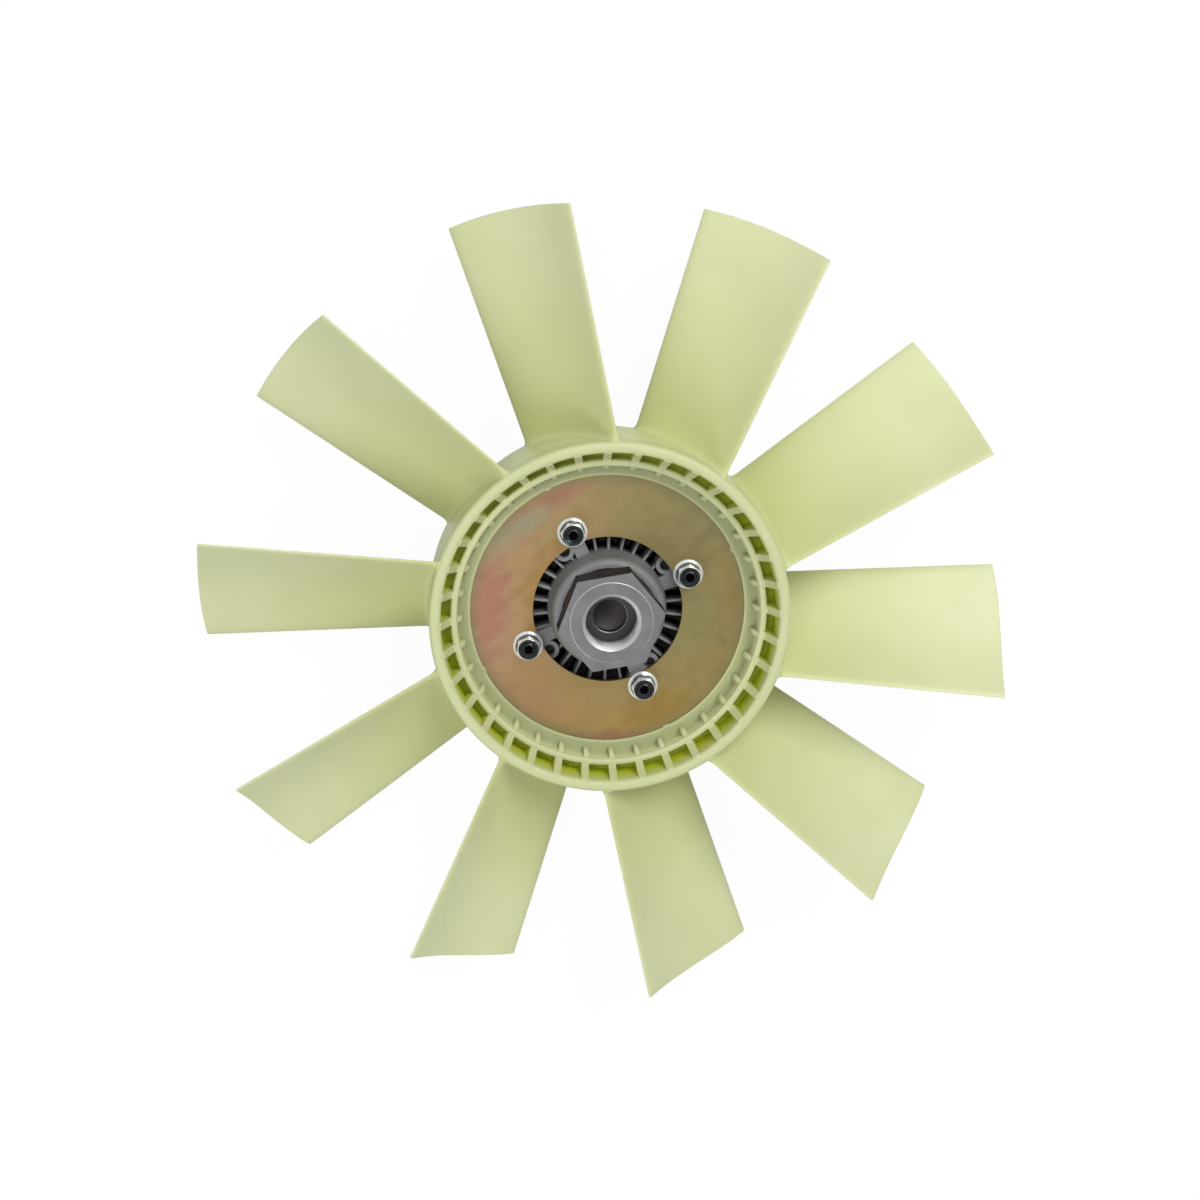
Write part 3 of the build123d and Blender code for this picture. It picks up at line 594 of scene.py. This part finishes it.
# The ribs' fronts slope from the shell's wall to the band, and the slots' depth counts from there
mouth = add_node(
    tree, "ShaderNodeMath", {1: 1.96, 2: -0.198}, {0: radius}, operation="MULTIPLY_ADD"
).outputs[0]
depth = add_node(
    tree, "ShaderNodeMath", links={0: mouth, 1: height}, operation="SUBTRACT"
).outputs[0]
polymer = mottled(tree, flow, 70.0, (0.3, "#d3d7a5"), (0.7, "#dadeaf"), Detail=4.0, Distortion=0.8)
# Greener at the roots: the thick nylon's deeper tone, and painted shade for the light that thinner
# nylon lets through
at_roots = ((radius, 1.0, 0.0, 0.120, 0.205), (radius, 0.0, 0.7, 0.1052, 0.1062))
# Painted shade: the fronts of the rim and the band darkened
rim_painted_shade = ((height, 0.0, 0.55, -0.018, -0.0155), (radius, 1.0, 0.0, 0.1056, 0.1064))
# Painted shade: olive in the slots, stronger with depth below the ribs' fronts
slot_painted_shade = (
    (depth, 0.0, 1.0, -0.001, 0.0125), (height, 0.0, 1.0, -0.034, -0.030),
    (radius, 0.0, 1.0, 0.0932, 0.0935), (radius, 1.0, 0.0, 0.0989, 0.1004),
)
# Greyer where the thin lip covers the steel, and darkened as painted shade in the pockets below the
# band
grey_over_steel_and_shade = ((radius, 1.0, 0.0, 0.0890, 0.0896), (height, 1.0, 0.0, -0.0279, -0.021))
# Painted highlight: a pale line along the lip's edge
lip_edge_painted_highlight = ((radius, 1.0, 0.0, 0.0826, 0.0834), (height, 0.45, 0.0, -0.0279, -0.0272))
for code, fades in (
    ("#c6cb88", at_roots), ("#bcc18f", rim_painted_shade), ("#c2cb30", slot_painted_shade),
    ("#a8ad7e", grey_over_steel_and_shade), ("#c9ce9b", lip_edge_painted_highlight),
):
    polymer = tinted(tree, polymer, code, *fades)
tree.links.new(polymer, shader.inputs["Base Color"])
tree.links.new(patchy(tree, place, 6.0, 0.42, 0.52), shader.inputs["Roughness"])
grained(tree, shader, place, 0.8, 0.02, 0.35, detail=2.0)


def around_axis_tree():
    """Geometry Nodes tree that sets copies of a piece evenly round the axis."""
    group = bpy.data.node_groups.new("around_axis", "GeometryNodeTree")
    kinds = {"Piece": "Object", "Count": "Int", "First Angle": "Float", "Material": "Material"}
    for title, kind in kinds.items():
        group.interface.new_socket(title, in_out="INPUT", socket_type=f"NodeSocket{kind}")
    group.interface.new_socket("Mesh", in_out="OUTPUT", socket_type="NodeSocketGeometry")
    given = add_node(group, "NodeGroupInput").outputs
    links = {"Object": given["Piece"]}
    piece = add_node(group, "GeometryNodeObjectInfo", links=links).outputs["Geometry"]
    links = {"Count": given["Count"]}
    points = add_node(group, "GeometryNodePoints", links=links).outputs["Points"]
    step = add_node(
        group, "ShaderNodeMath", {0: 2 * math.pi}, {1: given["Count"]}, operation="DIVIDE"
    ).outputs[0]
    number = add_node(group, "GeometryNodeInputIndex").outputs["Index"]
    links = {0: number, 1: step, 2: given["First Angle"]}
    angle = add_node(group, "ShaderNodeMath", links=links, operation="MULTIPLY_ADD").outputs[0]
    euler = add_node(group, "ShaderNodeCombineXYZ", links={"Z": angle}).outputs["Vector"]
    links = {"Euler": euler}
    turn = add_node(group, "FunctionNodeEulerToRotation", links=links).outputs["Rotation"]
    links = {"Points": points, "Instance": piece, "Rotation": turn}
    copies = add_node(group, "GeometryNodeInstanceOnPoints", links=links).outputs["Instances"]
    links = {"Geometry": copies}
    real = add_node(group, "GeometryNodeRealizeInstances", links=links).outputs["Geometry"]
    links = {"Geometry": real, "Material": given["Material"]}
    dressed = add_node(group, "GeometryNodeSetMaterial", links=links).outputs["Geometry"]
    add_node(group, "NodeGroupOutput", links={"Mesh": dressed})
    return group


around_axis = around_axis_tree()


def ring_of(name, piece, count, first_angle, material):
    """Plain mesh of evenly spaced copies of a piece, which is used up."""
    result = bpy.data.objects.new(name, bpy.data.meshes.new(name))
    bpy.context.scene.collection.objects.link(result)
    modifier = result.modifiers.new("around_axis", "NODES")
    modifier.node_group = around_axis
    sockets = {item.name: item.identifier for item in around_axis.interface.items_tree}
    modifier[sockets["Piece"]] = piece
    modifier[sockets["Count"]] = count
    modifier[sockets["First Angle"]] = math.radians(first_angle)
    modifier[sockets["Material"]] = material
    made = result.evaluated_get(bpy.context.evaluated_depsgraph_get())
    mesh = bpy.data.meshes.new_from_object(made)
    # The empty slot of the object's own mesh comes first, and Set Material's slot after it
    mesh.materials.pop(index=0)
    result.modifiers.clear()
    result.data = mesh
    bpy.data.objects.remove(piece)
    return result


def rounded(points, radii, steps=4):
    """Corner points of a closed outline, each rounded by an arc of about its own radius."""
    points = np.asarray(points, float)
    result = []
    neighbours = zip(np.roll(points, 1, 0), points, np.roll(points, -1, 0), radii)
    for before, corner, after, radius in neighbours:
        back, ahead = before - corner, after - corner
        reach = min(radius, np.linalg.norm(back) * 0.45, np.linalg.norm(ahead) * 0.45)
        start = corner + back / np.linalg.norm(back) * reach
        end = corner + ahead / np.linalg.norm(ahead) * reach
        for share in np.linspace(0, 1, steps + 1):
            near, far = (1 - share) ** 2 * start, share**2 * end
            result.append(near + 2 * share * (1 - share) * corner + far)
    return np.array(result)


def plate(name, outline, thickness, edge):
    """Upright plate on the XZ plane from (x, z) points, with rounded edges."""
    half = thickness / 2
    outline = np.asarray(outline, float)
    middle = outline.mean(axis=0)
    reach = np.linalg.norm(outline - middle, axis=1).max()
    inner = middle + (outline - middle) * (1 - edge / reach)
    levels = [(inner, -half), (outline, -half + edge), (outline, half - edge), (inner, half)]
    return skin(name, [[(x, y, z) for x, z in points] for points, y in levels])


def join(name, *pieces):
    """One mesh out of several pieces that share a finish."""
    work = bmesh.new()
    for piece in pieces:
        work.from_mesh(piece.data)
    mesh = bpy.data.meshes.new(name)
    work.to_mesh(mesh)
    work.free()
    for piece in pieces:
        bpy.data.objects.remove(piece)
    whole = bpy.data.objects.new(name, mesh)
    bpy.context.scene.collection.objects.link(whole)
    return whole


drum_radius = 105.7
shell_inner = 98.8
drum_front = -3.5
drum_back = -55.5
band_outer = 93.3
band_inner = 89.2
band_front = -15.3
band_back = -44.0
web_front = -26.0
web_back = -35.0
lip_front = -28.0
lip_radius = 81.5
mould_edge = 0.8
rim_round = 3.0
band_round = 1.8
drum_profile = rounded(
    [
        (drum_radius, drum_back), (drum_radius, drum_front), (shell_inner, drum_front),
        (shell_inner, web_front), (band_outer, web_front), (band_outer, band_front),
        (band_inner, band_front), (band_inner, lip_front), (lip_radius, lip_front),
        (lip_radius, disc_front), (disc_edge, disc_front), (disc_edge, disc_back),
        (lip_radius, disc_back), (lip_radius, web_back), (band_inner, web_back),
        (band_inner, band_back), (band_outer, band_back), (band_outer, web_back),
        (shell_inner, web_back), (shell_inner, drum_back),
    ],
    [mould_edge, rim_round, rim_round, mould_edge, mould_edge, band_round, band_round]
    + [mould_edge] * 13,
)
drum_angles = np.radians(np.arange(0, 360, 1.5))
drum = skin("drum", turned(drum_profile, drum_angles), closed=True)

rib_count = 36
rib_first_angle = 1.0
rib_thickness = 4.5
rib_edge = 0.4
rib_sink = 2.0
back_rib_count = 20
gusset_thickness = 2.8
gusset_edge = 0.6
blade_count = 10
blade_first_angle = 103.8
front_rib_outline = [
    (band_outer - 1.5, web_front), (shell_inner + rib_sink, web_front),
    (shell_inner + rib_sink, drum_front - 0.2), (shell_inner, drum_front - 0.9),
    (band_outer, band_front + 0.1), (band_outer - 1.5, band_front + 0.1),
]
back_rib_outline = [
    (band_outer - rib_sink, web_back), (band_outer - rib_sink, band_back), (band_outer, band_back),
    (shell_inner, drum_back + 1.6), (shell_inner + rib_sink, drum_back + 1.6),
    (shell_inner + rib_sink, web_back),
]
gusset_outline = [
    (lip_radius + 4.0, lip_front), (band_inner + rib_sink, lip_front),
    (band_inner + rib_sink, band_front - 1.5), (band_inner, band_front - 1.5),
    (band_inner - 2.2, band_front - 4.5),
]
rib = plate("rib", front_rib_outline, rib_thickness, rib_edge)
front_ribs = ring_of("front_ribs", rib, rib_count, rib_first_angle, natural_nylon)
rib = plate("rib", back_rib_outline, rib_thickness, rib_edge)
back_ribs = ring_of("back_ribs", rib, back_rib_count, blade_first_angle, natural_nylon)
gusset = plate("gusset", gusset_outline, gusset_thickness, gusset_edge)
gussets = ring_of("gussets", gusset, rib_count, rib_first_angle, natural_nylon)

# A blade's section, each size as a pair: at the drum's wall and at the tip circle. The rear edge
# is on the +Y side.
rear_y_range = (22.0, 34.1)
rear_z_range = (drum_back + 1.5, drum_back + 2.0)
front_y_range = (-28.9, -34.1)
front_z_range = (drum_front - 2.5, drum_front + 3.7)
camber_range = (4.5, 6.4)
thickness_range = (4.2, 3.6)
edge_half = 0.55
edge_flare = 0.35
front_hook = 0.3
tip_radius = 240.0
tip_skew = 1.4
tip_round = 0.7
tip_trim = 0.6
root_fillet = 4.6
root_sink = 2.0
section_steps = 14
end_steps = 4
reach_steps = 26
fillet_steps = 6
reach_passes = 6


def blade_ring(reach, flare=0.0, trim=0.0):
    """Points round a blade's section at a distance from the axis, thickened by the root's flare."""
    across = -np.cos(np.linspace(0, math.pi, section_steps + 1))
    turn = np.radians(np.linspace(90, -90, end_steps + 1)[1:-1])
    face, cap = np.ones(section_steps + 1), np.ones(end_steps - 1)
    along = np.concatenate([across, cap, across[::-1], -cap])
    side = np.concatenate([face, np.sin(turn), -face, -np.sin(turn)])
    end = np.concatenate([face * 0, np.cos(turn), face * 0, -np.cos(turn)])
    x = np.full(along.shape, reach)
    # The section bends round the axis with the wall, so x and y depend on each other, and a few
    # passes settle them
    for _ in range(reach_passes):
        share = (x - drum_radius) / (tip_radius - drum_radius)
        rear_y, rear_z, front_y, front_z, camber, thickness = (
            at_root + share * (at_tip - at_root) for at_root, at_tip in (
                rear_y_range, rear_z_range, front_y_range, front_z_range, camber_range,
                thickness_range,
            )
        )
        belly = thickness / 2 + flare - trim
        edge = edge_half + flare * edge_flare - trim
        chord = np.hypot(front_y - rear_y, front_z - rear_z)
        cos_slope, sin_slope = (front_y - rear_y) / chord, (front_z - rear_z) / chord
        thick = edge + (belly - edge) * np.sqrt(1 - along**6)
        c = along * chord / 2 + end * edge
        n = camber * (1 - along**2) * (1 + front_hook * along) + side * thick
        y = (rear_y + front_y) / 2 + c * cos_slope - n * sin_slope
        z = (rear_z + front_z) / 2 + c * sin_slope + n * cos_slope
        x = np.sqrt((reach - tip_skew * share**2 * (0.5 - along / 2) ** 3) ** 2 - y**2)
    return np.stack([x, y, z], 1)


blade_rings = [blade_ring(drum_radius - root_sink, root_fillet)]
for turn in np.radians(np.linspace(0, 90, fillet_steps)):
    rise, flare = root_fillet * (1 - math.cos(turn)), root_fillet * (1 - math.sin(turn))
    blade_rings.append(blade_ring(drum_radius + rise, flare))
for reach in np.linspace(drum_radius + root_fillet, tip_radius - tip_round, reach_steps)[1:]:
    blade_rings.append(blade_ring(reach))
for turn in np.radians((30, 60, 90)):
    drop, trim = tip_round * (1 - math.sin(turn)), tip_round * tip_trim * (1 - math.cos(turn))
    blade_rings.append(blade_ring(tip_radius - drop, trim=trim))
blade = skin("blade", blade_rings)
blades = ring_of("blades", blade, blade_count, blade_first_angle, natural_nylon)

# Four shallow marks on the lip, where the mould's gates were
gate_outline = [(80.7, -28.9), (82.5, -28.9), (82.5, -27.6), (81.0, -27.7)]
gate_width = 3.6
gate_edge = 0.2
gate_count = 4
gate_first_angle = 25.5
gate = plate("gate", gate_outline, gate_width, gate_edge)
gates = ring_of("gate_marks", gate, gate_count, gate_first_angle, natural_nylon)

fan = join("fan_moulding", drum, front_ribs, back_ribs, gussets, blades, gates)
fan.data.materials.clear()
fan.data.materials.append(natural_nylon)
smooth(fan, 38)
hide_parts("fan")
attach(fan, "fan_and_clutch")

# Studs. Black-oxide steel, screwed into the housing's pads, each with a small hexagon socket in
# its rounded end. One still carries a dab of green thread lock.

# Black oxide on steel: dark, satin, its sheen uneven where hands and spanners rubbed it
black_oxide, tree, shader, place = start_material("black_oxide_steel", Metallic=1.0)
metal = mottled(tree, place, 2.5, (0.3, "#3a3c3f"), (0.75, "#4c4f52"))
tree.links.new(metal, shader.inputs["Base Color"])
tree.links.new(patchy(tree, place, 1.0, 0.28, 0.45), shader.inputs["Roughness"])

# The socket's inside: near black, for the oil that collects there and as painted shade in the deep
# hole
socket_oil_and_shade, tree, shader, place = start_material(
    "socket_oil_and_painted_shade", Roughness=0.7, Specular_IOR_Level=0.05
)
oil = mottled(tree, place, 1.5, (0.3, "#050505"), (0.7, "#0b0b0c"))
tree.links.new(oil, shader.inputs["Base Color"])

stud_count = 4
stud_circle = 52.0
stud_angle = 23.8
stud_radius = 4.0
stud_top = disc_front + 9.8
stud_foot = disc_back - 16
socket_flats = 5.0
socket_reach = 3.05
socket_depth = 3.5
socket_cone = 0.7
stud_steps = 72
stud_angles = np.radians(np.arange(stud_steps) * 360 / stud_steps)
socket_outline = hexagon_radius(socket_flats, 0.0, stud_angles)


def round_ring(radius, z):
    """Ring of a stud or nut about its own axis on the stud circle."""
    radius = np.broadcast_to(radius, stud_angles.shape)
    x, y = stud_circle + radius * np.cos(stud_angles), radius * np.sin(stud_angles)
    return np.stack([x, y, np.full(stud_steps, z)], 1)


stud_profile = [
    (0.0, stud_foot), (stud_radius, stud_foot), (stud_radius, stud_top - 0.9),
    (stud_radius - 0.25, stud_top - 0.35), (stud_radius - 0.8, stud_top),
    (socket_outline + 0.15, stud_top), (socket_outline, stud_top - 0.2),
    (socket_outline, stud_top - socket_depth), (0.0, stud_top - socket_depth - socket_cone),
]
stud = skin("stud", [round_ring(reach, z) for reach, z in stud_profile], caps=False)
studs = ring_of("socket_studs", stud, stud_count, stud_angle, black_oxide)
studs.data.materials.append(socket_oil_and_shade)
# Faces inside the socket get the near-black painted shade
for face in studs.data.polygons:
    own = Matrix.Rotation(math.radians(-stud_angle), 4, "Z") @ face.center
    quarter = round(math.atan2(own.y, own.x) / (math.pi / 2))
    centre = Matrix.Rotation(quarter * math.pi / 2, 4, "Z") @ Vector((stud_circle / 1000, 0, own.z))
    if (own - centre).xy.length < socket_reach / 1000 and own.z < (stud_top - 0.15) / 1000:
        face.material_index = 1
smooth(studs)
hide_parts("disc_studs")
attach(studs, "fan_and_clutch")

# Flange nuts. Cold-formed steel with zinc plate, a sloping flange under the hexagon and a crimped
# collar on top, which holds a dark nylon ring that grips the stud's thread.

# Zinc plate with a milky blue passivation; the hexagon's flats below the chamfer are darkened as
# painted shade and painted reflection of dark surroundings
milky_zinc, tree, shader, place = start_material("blue_passivated_zinc", Metallic=0.5)
height = add_node(tree, "ShaderNodeSeparateXYZ", links={"Vector": place}).outputs["Z"]
metal = mottled(tree, place, 3.0, (0.3, "#ebf0f3"), (0.7, "#fafcfc"))
# Painted shade and reflection: dark blue-grey on the hexagon's flats
metal = tinted(
    tree, metal, "#38434b", (height, 0.0, 0.85, disc_face + 0.0019, disc_face + 0.0022),
    (height, 1.0, 0.0, disc_face + 0.0058, disc_face + 0.0061),
)
tree.links.new(metal, shader.inputs["Base Color"])
tree.links.new(patchy(tree, place, 1.2, 0.18, 0.3), shader.inputs["Roughness"])

nut_flats = 13.0
nut_flange = 8.95
nut_bore = 4.3
nut_top = disc_front + 9.3
nut_outline = hexagon_radius(nut_flats, 0.0, stud_angles)
collar = 6.45
collar_recess = 1.2
nut_profile = [
    (nut_bore, disc_front), (nut_flange - 0.4, disc_front), (nut_flange, disc_front + 0.4),
    (nut_flange, disc_front + 1.0), (nut_flange - 0.35, disc_front + 1.35),
]
for cone_radius, rise in ((8.0, 1.7), (7.4, 2.1)):
    nut_profile.append((np.maximum(nut_outline, cone_radius), disc_front + rise))
for cone_radius, rise in ((7.55, 2.7), (7.55, 6.0), (7.25, 6.5), (6.6, 7.0)):
    nut_profile.append((np.minimum(nut_outline, cone_radius), disc_front + rise))
nut_profile += [
    (collar, nut_top - 2.2), (collar, nut_top - 0.5), (collar - 0.12, nut_top - 0.15),
    (collar - 0.3, nut_top - 0.05), (collar - 0.38, nut_top - collar_recess),
    (nut_bore, nut_top - collar_recess),
]
nut = skin("nut", [round_ring(reach, z) for reach, z in nut_profile], closed=True)
nuts = ring_of("flange_lock_nuts", nut, stud_count, stud_angle, milky_zinc)
smooth(nuts, 28)
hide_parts("flange_nuts")
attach(nuts, "fan_and_clutch")

# Nylon locking ring: nearly black, waxy
lock_nylon, tree, shader, place = start_material(
    "dark_lock_nylon", Roughness=0.55, Specular_IOR_Level=0.35
)
nylon = mottled(tree, place, 1.5, (0.3, "#0e1113"), (0.7, "#191e20"))
tree.links.new(nylon, shader.inputs["Base Color"])
insert_bore = 4.02
insert_profile = [
    (insert_bore, nut_top - 1.1), (6.0, nut_top - 1.1), (6.05, nut_top - 0.3),
    (5.8, nut_top + 0.05), (4.5, nut_top + 0.1), (insert_bore, nut_top - 0.2),
]
insert = skin("insert", [round_ring(reach, z) for reach, z in insert_profile], closed=True)
inserts = ring_of("nut_lock_rings", insert, stud_count, stud_angle, lock_nylon)
smooth(inserts)
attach(inserts, "fan_and_clutch")

# Thread lock. Liquid resin, brushed on the studs before the nuts went on. One dab of it was
# squeezed out past a nut's locking ring and has dried there.

# Thread-lock resin, dried: bottle green, glossy
resin, tree, shader, place = start_material("green_thread_lock", Roughness=0.25)
tone = mottled(tree, place, 1.0, (0.3, "#063a2b"), (0.7, "#0c503d"))
tree.links.new(tone, shader.inputs["Base Color"])
resin_angles = np.radians(np.linspace(80, 148, 10))
resin_widths = (0.8, 1.2, 1.6, 2.0, 2.4, 2.7, 2.9, 2.9, 2.5, 1.8)
resin_rings = []
for angle, width in zip(resin_angles, resin_widths):
    section = [
        (6.4 - width, 0.0), (6.5 - width * 0.8, 0.45), (6.1, 0.4), (6.5, -0.2),
        (5.9 - width * 0.3, -0.8),
    ]
    resin_rings.append([
        (stud_circle + reach * math.cos(angle), reach * math.sin(angle), nut_top + rise)
        for reach, rise in section
    ])
resin_dab = skin("thread_lock_dab", resin_rings)
resin_dab.data.transform(Matrix.Rotation(math.radians(stud_angle + 90), 4, "Z"))
resin_dab.data.materials.append(resin)
smooth(resin_dab, 60)
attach(resin_dab, "fan_and_clutch")

# Floor, light and camera. A white sweep under soft lamps, seen from where the photograph was
# taken: high above the hub, a little to the left and above it.
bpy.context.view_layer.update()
floor_z = cad_box[0][2]
floor_half = 6
floor_corners = [
    (x * floor_half, y * floor_half, floor_z) for x, y in ((-1, -1), (1, -1), (1, 1), (-1, 1))
]
floor_mesh = bpy.data.meshes.new("floor")
floor_mesh.from_pydata(floor_corners, [], [(0, 1, 2, 3)])
floor = bpy.data.objects.new("floor", floor_mesh)
bpy.context.scene.collection.objects.link(floor)

# Seamless paper: white to the camera and in reflections, with the object's soft shadow kept
white_share = 0.88
white_level = 1.08
paper, tree, shader, place = start_material("seamless_paper", Roughness=0.9)
shader.inputs["Base Color"].default_value = colour("#b4b4b4")
rays = add_node(tree, "ShaderNodeLightPath").outputs
links = {0: rays["Is Camera Ray"], 1: rays["Is Glossy Ray"]}
seen = add_node(tree, "ShaderNodeMath", links=links, operation="MAXIMUM").outputs[0]
share = add_node(
    tree, "ShaderNodeMath", {1: white_share}, {0: seen}, operation="MULTIPLY"
).outputs[0]
white = add_node(
    tree, "ShaderNodeEmission", {"Color": (1, 1, 1, 1), "Strength": white_level}
).outputs[0]
links = {0: share, 1: shader.outputs[0], 2: white}
mixed = add_node(tree, "ShaderNodeMixShader", links=links).outputs[0]
tree.links.new(mixed, tree.nodes["Material Output"].inputs["Surface"])
floor.data.materials.append(paper)

ambient = 0.40
ambient_in_gloss = 0.55
world = bpy.data.worlds.new("studio")
world.use_nodes = True
bpy.context.scene.world = world
tree = world.node_tree
sky = tree.nodes["Background"]
rays = add_node(tree, "ShaderNodeLightPath").outputs
levels, links = {"To Min": ambient, "To Max": ambient_in_gloss}, {"Value": rays["Is Glossy Ray"]}
on_object = add_node(tree, "ShaderNodeMapRange", levels, links).outputs["Result"]
links = {"Value": rays["Is Camera Ray"], "To Min": on_object}
strength = add_node(tree, "ShaderNodeMapRange", {"To Max": 1.0}, links).outputs["Result"]
tree.links.new(strength, sky.inputs["Strength"])
sky.inputs["Color"].default_value = (1, 1, 1, 1)


def add_lamp(name, place, size, power):
    """Square soft lamp that looks at the hub."""
    data = bpy.data.lights.new(name, "AREA")
    data.energy = power
    data.size = size
    lamp = bpy.data.objects.new(name, data)
    lamp.location = place
    lamp.rotation_euler = Vector(place).to_track_quat("Z", "Y").to_euler()
    bpy.context.scene.collection.objects.link(lamp)


add_lamp("key", (0.67, 1.16, 1.34), 1.0, 20.0)
add_lamp("fill", (-0.81, -1.16, 1.27), 1.0, 10.3)
add_lamp("top", (-0.70, 0.40, 1.72), 0.9, 6.5)

camera_place = Vector((-0.0931, 0.3147, 1.0895))
camera_back = Vector((-0.0760, 0.2653, 0.9612)).normalized()
camera_right = Vector((0, 1, 0)).cross(camera_back).normalized()
camera_up = camera_back.cross(camera_right)
camera_turn = Matrix((camera_right, camera_up, camera_back)).transposed().to_4x4()
camera_data = bpy.data.cameras.new("camera")
camera_data.sensor_width = 36.0
camera_data.lens = 58.97
camera = bpy.data.objects.new("camera", camera_data)
camera.matrix_world = Matrix.Translation(camera_place) @ camera_turn
bpy.context.scene.collection.objects.link(camera)
bpy.context.scene.camera = camera
bpy.context.scene.view_settings.view_transform = "Standard"
